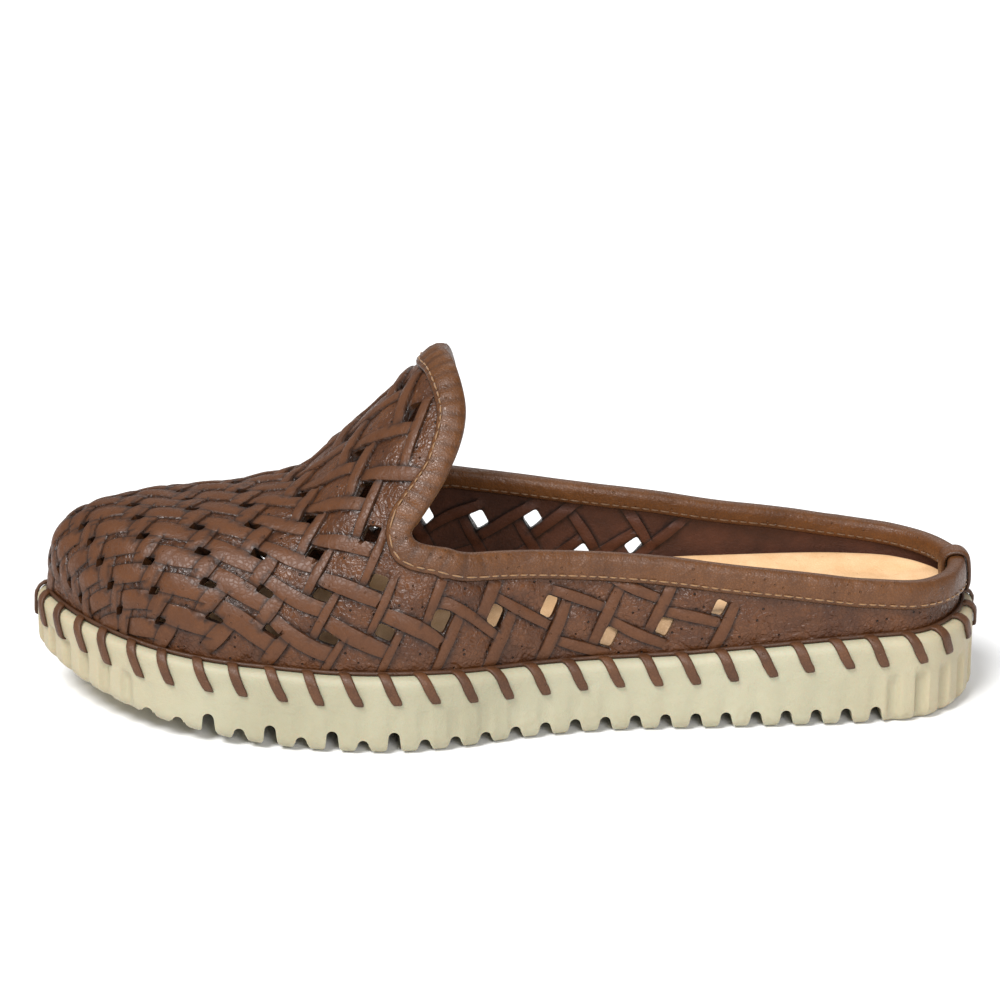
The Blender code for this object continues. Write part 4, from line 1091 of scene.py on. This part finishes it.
def makeHeelStrip():
    heelX = float(footLine[:, 0].max())
    back = np.array([[heelX, float(spineTable(shoe["heelPole"]))]])
    edge = flatOfHeight(back, np.array([shoe["toplineHeel"]]))[0]
    low = flatOfHeight(back, np.array([float(rimTop(along(0))) + 2.1 * mm]))[0]
    thick = heelStrip["thick"]
    outside = binding["gap"] + binding["thick"] + heelStrip["clear"]
    lining = -shoe["wall"] - binding["gap"] - binding["thick"] - 1.5 * shoe["fit"]
    foot = float(low[0] - edge[0])
    inner = shoe["toplineHeel"] - shoe["footbedHeel"] - 4 * shoe["fit"]
    top = binding["thick"] + 3 * shoe["fit"]
    # Columns: distance beyond the collar's edge, distance out from the last
    rows = np.array([
        (-foot, outside - 0.5 * mm), (-0.8 * foot, outside), (-0.4 * foot, outside + 0.1 * mm),
        (0.0, outside), (0.6 * top, 0.86 * outside), (0.95 * top, 0.45 * outside),
        (top + 0.3 * mm, -0.2 * mm), (top + 0.3 * mm, -shoe["wall"]), (0.85 * top, lining + 0.6 * thick),
        (0.4 * top, lining), (-0.4 * inner, lining - 0.3 * mm), (-inner, lining - 0.3 * mm),
    ])
    path = [rows[i] + (rows[i + 1] - rows[i]) * k / 4 for i in range(len(rows) - 1) for k in range(4)]
    path = np.array(path + [rows[-1]])
    for _ in range(3):
        path[1:-1] = 0.5 * path[1:-1] + 0.25 * (path[:-2] + path[2:])
    flat = path[:, ::-1]
    ahead = unitRows(np.gradient(flat, axis=0))
    away = -np.stack([-ahead[:, 1], ahead[:, 0]], 1)
    columns = 13
    turn = heelStrip["width"] / 2 / (shoe["heelWidth"] / 2)
    places, shade = [], []
    for i, side in enumerate(np.linspace(-turn, turn, columns)):
        edgeShare = abs(2 * i / (columns - 1) - 1)
        plump = thick * (1 - 0.45 * edgeShare ** 6)
        for line, inward in ((flat, 0.0), (flat[::-1], 1.0)):
            shift = (away[::-1] if inward else away) * (plump if inward else 0.0)
            for out, beyond in line + shift:
                distance = edge[0] - heelPole - beyond
                spot = np.array([[heelPole + distance * math.cos(side), distance * math.sin(side)]])
                places.append(liftOff(spot, out)[0])
                shade.append(0.5 * edgeShare ** 8)
    count = 2 * len(path)
    faces = tube(0, count, columns)
    for start in (0, (columns - 1) * count):
        last = start + count - 1
        faces += [(start + i, start + i + 1, last - i - 1, last - i) for i in range(len(path) - 1)]
    piece = putMesh("heel_band", places, faces, [edgeLeather])
    storeValues(piece, "shade", shade)
    place(piece, "binding_leather", "heel_strip")


makeHeelStrip()
print("heel strip made")


# Cup sole with its teeth

sole = {
    "toothPitch": 8.39 * mm, "firstGroove": 0.8815, "lastGroove": 0.122, "flexGrooves": (2, 4, 6, 8),
    "grooveWidth": 3.1 * mm, "grooveFlute": 0.4 * mm, "grooveDepth": 4.6 * mm, "flexDepth": 6.4 * mm,
    "fluteDepth": 1.5 * mm, "fluteFade": 0.03, "sharpAngle": 38,
}
# Columns: share of the length, share of the usual depth
grooveRows = (
    (0.10, 1.13), (0.25, 1.10), (0.45, 1.00), (0.55, 0.87), (0.80, 0.87), (0.84, 0.70), (0.88, 0.60),
)
# How a tooth's foot rounds off. Columns: widening of the groove, height above the underside
toothFoot = (
    (2.4 * mm, -0.7 * mm), (1.55 * mm, 0.08 * mm), (1.00 * mm, 0.5 * mm), (0.62 * mm, 1.1 * mm),
    (0.32 * mm, 1.9 * mm),
)
grooveTable = smoothTable(grooveRows)


def fluteInset(line):
    walked = walkAlong(line)
    share = shareAt(line[:, 0])
    toe = np.clip((share - sole["firstGroove"]) / sole["fluteFade"], 0, 1)
    heel = np.clip((sole["lastGroove"] - share) / sole["fluteFade"], 0, 1)
    # narrow valleys between broad ribs, and a shallow one above each groove
    wave = 0.5 * (1 - np.cos(2 * math.pi * walked / sole["toothPitch"]))
    tips = sole["fluteDepth"] * 1.3 * np.maximum(toe, heel) * smoothStep(wave, 0.35, 1.0)
    over = 0.5 * (1 + np.cos(2 * math.pi * (line[:, 0] - along(sole["firstGroove"])) / sole["toothPitch"]))
    return tips + sole["grooveFlute"] * (1 - np.maximum(toe, heel)) * smoothStep(over, 0.3, 1.0)


def grooveCutters():
    places, faces = [], []
    first = along(sole["firstGroove"])
    count = int(round((along(sole["lastGroove"]) - first) / sole["toothPitch"])) + 1
    reach = shoe["ballWidth"] / 2 + 8 * mm
    radius = sole["grooveWidth"] / 2
    for number in range(count):
        x = first + number * sole["toothPitch"]
        low = float(underside(x))
        depth = sole["grooveDepth"] * float(grooveTable(shareAt(x)))
        if number in sole["flexGrooves"]:
            depth = sole["flexDepth"]
        mouth = [(radius + out, up) for out, up in toothFoot]
        ring = [(mouth[0][0], -3 * mm)] + mouth
        for k in range(9):
            turn = math.pi * k / 8
            ring.append((radius * math.cos(turn), depth - radius + radius * math.sin(turn)))
        ring += [(-out, up) for out, up in mouth[::-1]] + [(-mouth[0][0], -3 * mm)]
        start = len(places)
        for side in (-1, 1):
            places += [(x + dx, side * reach, low + dz) for dx, dz in ring]
        faces += tube(start, len(ring), 2, True)
    return putMesh("groove_cutters", places, faces, [], False)


def makeSole():
    line = closedCurve(outlinePoints(), 36)
    flutes = fluteInset(line)
    half = 1 - math.sqrt(0.5)
    foot, rim = shoe["footRound"], shoe["rimRound"]
    # Columns: inset, share of the flutes, height above the underside or the rim's top
    rows = [
        (foot, 0.0, 0.0, underside), (0.62 * foot, 0.4, 0.07 * foot, underside),
        (half * foot, 0.7, half * foot, underside), (0.07 * foot, 0.9, 0.62 * foot, underside),
        (0.0, 1.0, foot, underside),
    ]
    for share in (0.3, 0.42, 0.5, 0.56, 0.62, 0.70, 0.80):
        rows.append((0.0, 1 - float(smoothStep(np.array(share), 0.46, 0.64)), share, None))
    for turn in (0, 22, 45, 68, 90):
        a = math.radians(turn)
        rows.append((rim * (1 - math.cos(a)), 0.0, -rim * (1 - math.sin(a)), rimTop))
    rows.append((shoe["rimWidth"], 0.0, 0.0, rimTop))
    rows.append((shoe["rimWidth"] + 0.1 * mm, 0.0, -shoe["cupDepth"], rimTop))
    rings = []
    for inset, share, height, level in rows:
        flat = insetLine(line, inset + share * flutes)
        if level is None:
            z = underside(flat[:, 0]) * (1 - height) + rimTop(flat[:, 0]) * height
        else:
            z = level(flat[:, 0]) + height
        rings.append(np.column_stack([flat, z]))
    count = len(line)
    faces = tube(0, count, len(rings))
    for start in (0, (len(rings) - 1) * count):
        middle = count // 2
        faces.append((start, start + 1, start + count - 1))
        last = start + count
        faces += [(start + i, start + i + 1, last - i - 1, last - i) for i in range(1, middle - 1)]
        faces.append((start + middle - 1, start + middle, start + middle + 1))
    body = putMesh("cup_sole", np.vstack(rings), faces, [rubber])
    cutters = grooveCutters()
    cut = body.modifiers.new("Grooves", "BOOLEAN")
    cut.object = cutters
    cut.operation = "DIFFERENCE"
    cut.solver = "EXACT"
    bpy.context.view_layer.update()
    grooved = bpy.data.meshes.new_from_object(body.evaluated_get(bpy.context.evaluated_depsgraph_get()))
    body.modifiers.clear()
    body.data = grooved
    bpy.data.objects.remove(cutters, do_unlink=True)
    body.data.polygons.foreach_set("use_smooth", [True] * len(body.data.polygons))
    body.data.set_sharp_from_angle(angle=math.radians(sole["sharpAngle"]))
    place(body, "cream_rubber", "outsole")
    print("sole:", len(body.data.polygons), "faces")


makeSole()


# Footbed

footbed = {"edge": 6.5 * mm, "edgeRound": 1.2 * mm, "columns": 40}


def makeFootbed():
    line = insetLine(outline, footbed["edge"])[::2]
    count = len(line)
    half = count // 2
    across = 0.5 - 0.5 * np.cos(np.linspace(0, math.pi, footbed["columns"]))
    places, faces = [], []
    for i in range(1, half):
        a, b = line[i], line[count - i]
        width = np.linalg.norm(b - a)
        for s in across:
            x, y = a + (b - a) * s
            toTip = min(x - line[:, 0].min(), line[:, 0].max() - x)
            inward = min(min(s, 1 - s) * width, 0.8 * toTip)
            dish = shoe["footbedDish"] * float(smoothStep(np.array(inward), 1 * mm, 13 * mm))
            roll = footbed["edgeRound"] * (1 - float(smoothStep(np.array(inward), -0.4 * mm, 1.6 * mm)))
            places.append((x, y, float(footbedTop(x)) - dish - roll))
    columns = len(across)
    for i in range(half - 2):
        a = i * columns
        faces += [(j, j + 1, j + columns + 1, j + columns) for j in range(a, a + columns - 1)]
    # the side goes down into the cup
    ring = list(range(columns)) + [i * columns + columns - 1 for i in range(1, half - 1)]
    ring += [(half - 2) * columns + j for j in range(columns - 2, -1, -1)]
    ring += [i * columns for i in range(half - 3, 0, -1)]
    start = len(places)
    for number in ring:
        x, y = places[number][:2]
        places.append((x, y, float(rimTop(x)) - shoe["cupDepth"] + 0.3 * mm))
    for k in range(len(ring)):
        faces.append((ring[k], ring[(k + 1) % len(ring)], start + (k + 1) % len(ring), start + k))
    piece = putMesh("footbed", places, faces, [tan])
    storeValues(piece, "shade", np.zeros(len(places)))
    place(piece, "tan_leather", "insole")


makeFootbed()
print("footbed made")


# Lace whipped over the rim

lace = {
    "count": 58, "width": 3.1 * mm, "thick": 1.0 * mm, "drop": 7.8 * mm, "slant": -4.2 * mm,
    "clear": 0.06 * mm, "lineStations": 464, "sectionPoints": 16,
}
ringLine = np.vstack([outline, outline[:1]])
ringWalk = walkAlong(ringLine)


def rimPlace(walk, inset, height):
    here, further = [np.array([np.interp(at % ringWalk[-1], ringWalk, ringLine[:, k]) for k in (0, 1)])
                     for at in (walk, walk + mm)]
    ahead = unit(further - here)
    spot = here + inset * np.array([ahead[1], -ahead[0]])
    return np.array([spot[0], spot[1], float(rimTop(here[0])) + height])


def makeLacing():
    pitch = ringWalk[-1] / lace["count"]
    rim = shoe["rimRound"]
    places, faces, shade = [], [], []
    # Columns: share of the slant, angle round the rim, lift off it, share of the width
    path = [
        (-0.34, 100, -1.3 * mm, 0.85), (-0.20, 96, -0.4 * mm, 1.0), (-0.05, 88, 0.12 * mm, 1.0),
        (0.10, 66, 0.14 * mm, 1.0), (0.24, 42, 0.1 * mm, 1.0), (0.38, 18, 0.08 * mm, 1.0),
        (0.48, 0, 0.05 * mm, 1.0),
    ]
    # Columns: share of the slant, share of the drop, lift off the side, share of the width
    drops = [
        (0.62, 0.30, 0.04 * mm, 1.0), (0.76, 0.52, 0.04 * mm, 1.0), (0.88, 0.74, 0.02 * mm, 0.95),
        (0.96, 0.90, -0.15 * mm, 0.8), (1.0, 1.0, -1.1 * mm, 0.6),
    ]
    size = lace["sectionPoints"]
    for number in range(lace["count"]):
        base = number * pitch
        wobble = 0.18 * mm * math.sin(2.7 * number) + 0.1 * mm * math.sin(7.1 * number)
        lean = lace["slant"] * (1 + 0.08 * math.sin(3.3 * number + 1))
        drop = lace["drop"] * (1 + 0.04 * math.sin(5.1 * number))
        rows = []
        for slant, angle, lift, width in path:
            turn = math.radians(angle)
            radius = rim + lift + lace["clear"]
            down = radius * math.sin(turn) - rim
            rows.append((slant, rim - radius * math.cos(turn), down, turn, width))
        for slant, share, lift, width in drops:
            rows.append((slant, -lift - lace["clear"], -rim - share * (drop - rim), 0.0, width))
        first = len(places)
        for slant, inset, height, turn, width in rows:
            walk = base + slant * lean + wobble
            for k in range(size):
                # a flat section with round edges
                around = 2 * math.pi * k / size
                c, s = math.cos(around), math.sin(around)
                side = math.copysign(abs(c) ** 0.45, c) * width * lace["width"] / 2
                off = (math.copysign(abs(s) ** 0.7, s) * 0.5 + 0.5) * lace["thick"]
                inside, up = inset - off * math.cos(turn), height + off * math.sin(turn)
                places.append(rimPlace(walk + side, inside, up))
                shade.append(0.7 if slant > 0.97 else 0.45 * abs(c) ** 6)
        faces += tube(first, size, len(rows), True)
    # the line of lace in the corner, behind the stitches
    stations = lace["lineStations"]
    first = len(places)
    for i in range(stations):
        walk = ringWalk[-1] * i / stations
        for inset, height in ((rim - 0.1 * mm, 0.25 * mm), (rim, 0.95 * mm), (rim + 0.45 * mm, 1.25 * mm),
                              (rim + 0.95 * mm, 0.95 * mm), (rim + 1.0 * mm, 0.25 * mm)):
            places.append(rimPlace(walk, inset, height))
            shade.append(0.35)
    for i in range(stations):
        faces += band(first + i * 5, first + (i + 1) % stations * 5, 5)
    piece = putMesh("rim_lacing", places, faces, [laceLeather])
    storeValues(piece, "shade", shade)
    place(piece, "lace_leather", "whip_lacing")


makeLacing()
print("lacing made")


# Floor, light and camera

studio = {
    "floorSize": 6.0, "floorDark": (0.90, 0.90, 0.90, 1), "floorLight": (0.92, 0.92, 0.92, 1),
    "keyStrength": 3.5, "keySpread": 24.0, "keyHeading": (0.50, 0.62, -1.07), "worldStrength": 0.38,
    "frontPower": 6.5, "frontPlace": (0.15, -1.1, 0.62), "frontSize": 0.35,
    "backPower": 2.6, "backPlace": (0.3, 1.1, 0.9), "backSize": 0.8,
    "azimuth": -4.0, "elevation": 18.0, "distance": 1.0, "target": (-0.0015, 0.0055, 0.055), "lens": 127.8,
}


def makeFloor():
    size = studio["floorSize"]
    corners = [(x * size, y * size, -0.2 * mm) for x, y in ((-1, -1), (1, -1), (1, 1), (-1, 1))]
    floor = putMesh("floor", corners, [(0, 1, 2, 3)], [], False)
    material, tree, shader = principled("Pale Floor")
    coords = objectCoords(tree)
    speck = noiseNode(tree, coords, 4.0, 2.0)
    colour = mixNode(tree, speck.outputs["Fac"], studio["floorDark"], studio["floorLight"])
    tree.links.new(colour, shader.inputs["Base Color"])
    setInputs(shader, {"Roughness": 0.9, "Specular IOR Level": 0.1})
    floor.data.materials.append(material)


def putLamp(name, kind, strength, place, heading):
    light = bpy.data.lights.new(name, kind)
    light.energy = strength
    lamp = bpy.data.objects.new(name, light)
    lamp.location = place
    lamp.rotation_euler = Vector(heading).to_track_quat("-Z", "Y").to_euler()
    bpy.context.scene.collection.objects.link(lamp)
    return light


def makeStudio():
    scene = bpy.context.scene
    world = bpy.data.worlds.new("Soft Studio")
    world.use_nodes = True
    sky = world.node_tree.nodes["Background"]
    setInputs(sky, {"Color": (1, 1, 1, 1), "Strength": studio["worldStrength"]})
    scene.world = world
    # a broad sun lights the whole floor evenly
    sun = putLamp("Key", "SUN", studio["keyStrength"], (0, 0, 0), studio["keyHeading"])
    sun.angle = math.radians(studio["keySpread"])
    for name, height in (("front", 0.03), ("back", 0.05)):
        place = Vector(studio[name + "Place"])
        lamp = putLamp(name.title(), "AREA", studio[name + "Power"], place, Vector((0, 0, height)) - place)
        lamp.size = studio[name + "Size"]
    scene.view_settings.view_transform = "Standard"
    camera = bpy.data.objects.new("Camera", bpy.data.cameras.new("Camera"))
    camera.data.lens = studio["lens"]
    camera.data.sensor_width = 36
    camera.data.clip_start = 0.01
    azimuth, elevation = math.radians(studio["azimuth"]), math.radians(studio["elevation"])
    level = math.cos(elevation)
    back = Vector((math.sin(azimuth) * level, -math.cos(azimuth) * level, math.sin(elevation)))
    target = Vector(studio["target"])
    camera.location = target + back * studio["distance"]
    camera.rotation_euler = (-back).to_track_quat("-Z", "Y").to_euler()
    scene.collection.objects.link(camera)
    scene.camera = camera


makeFloor()
makeStudio()
print("studio made")
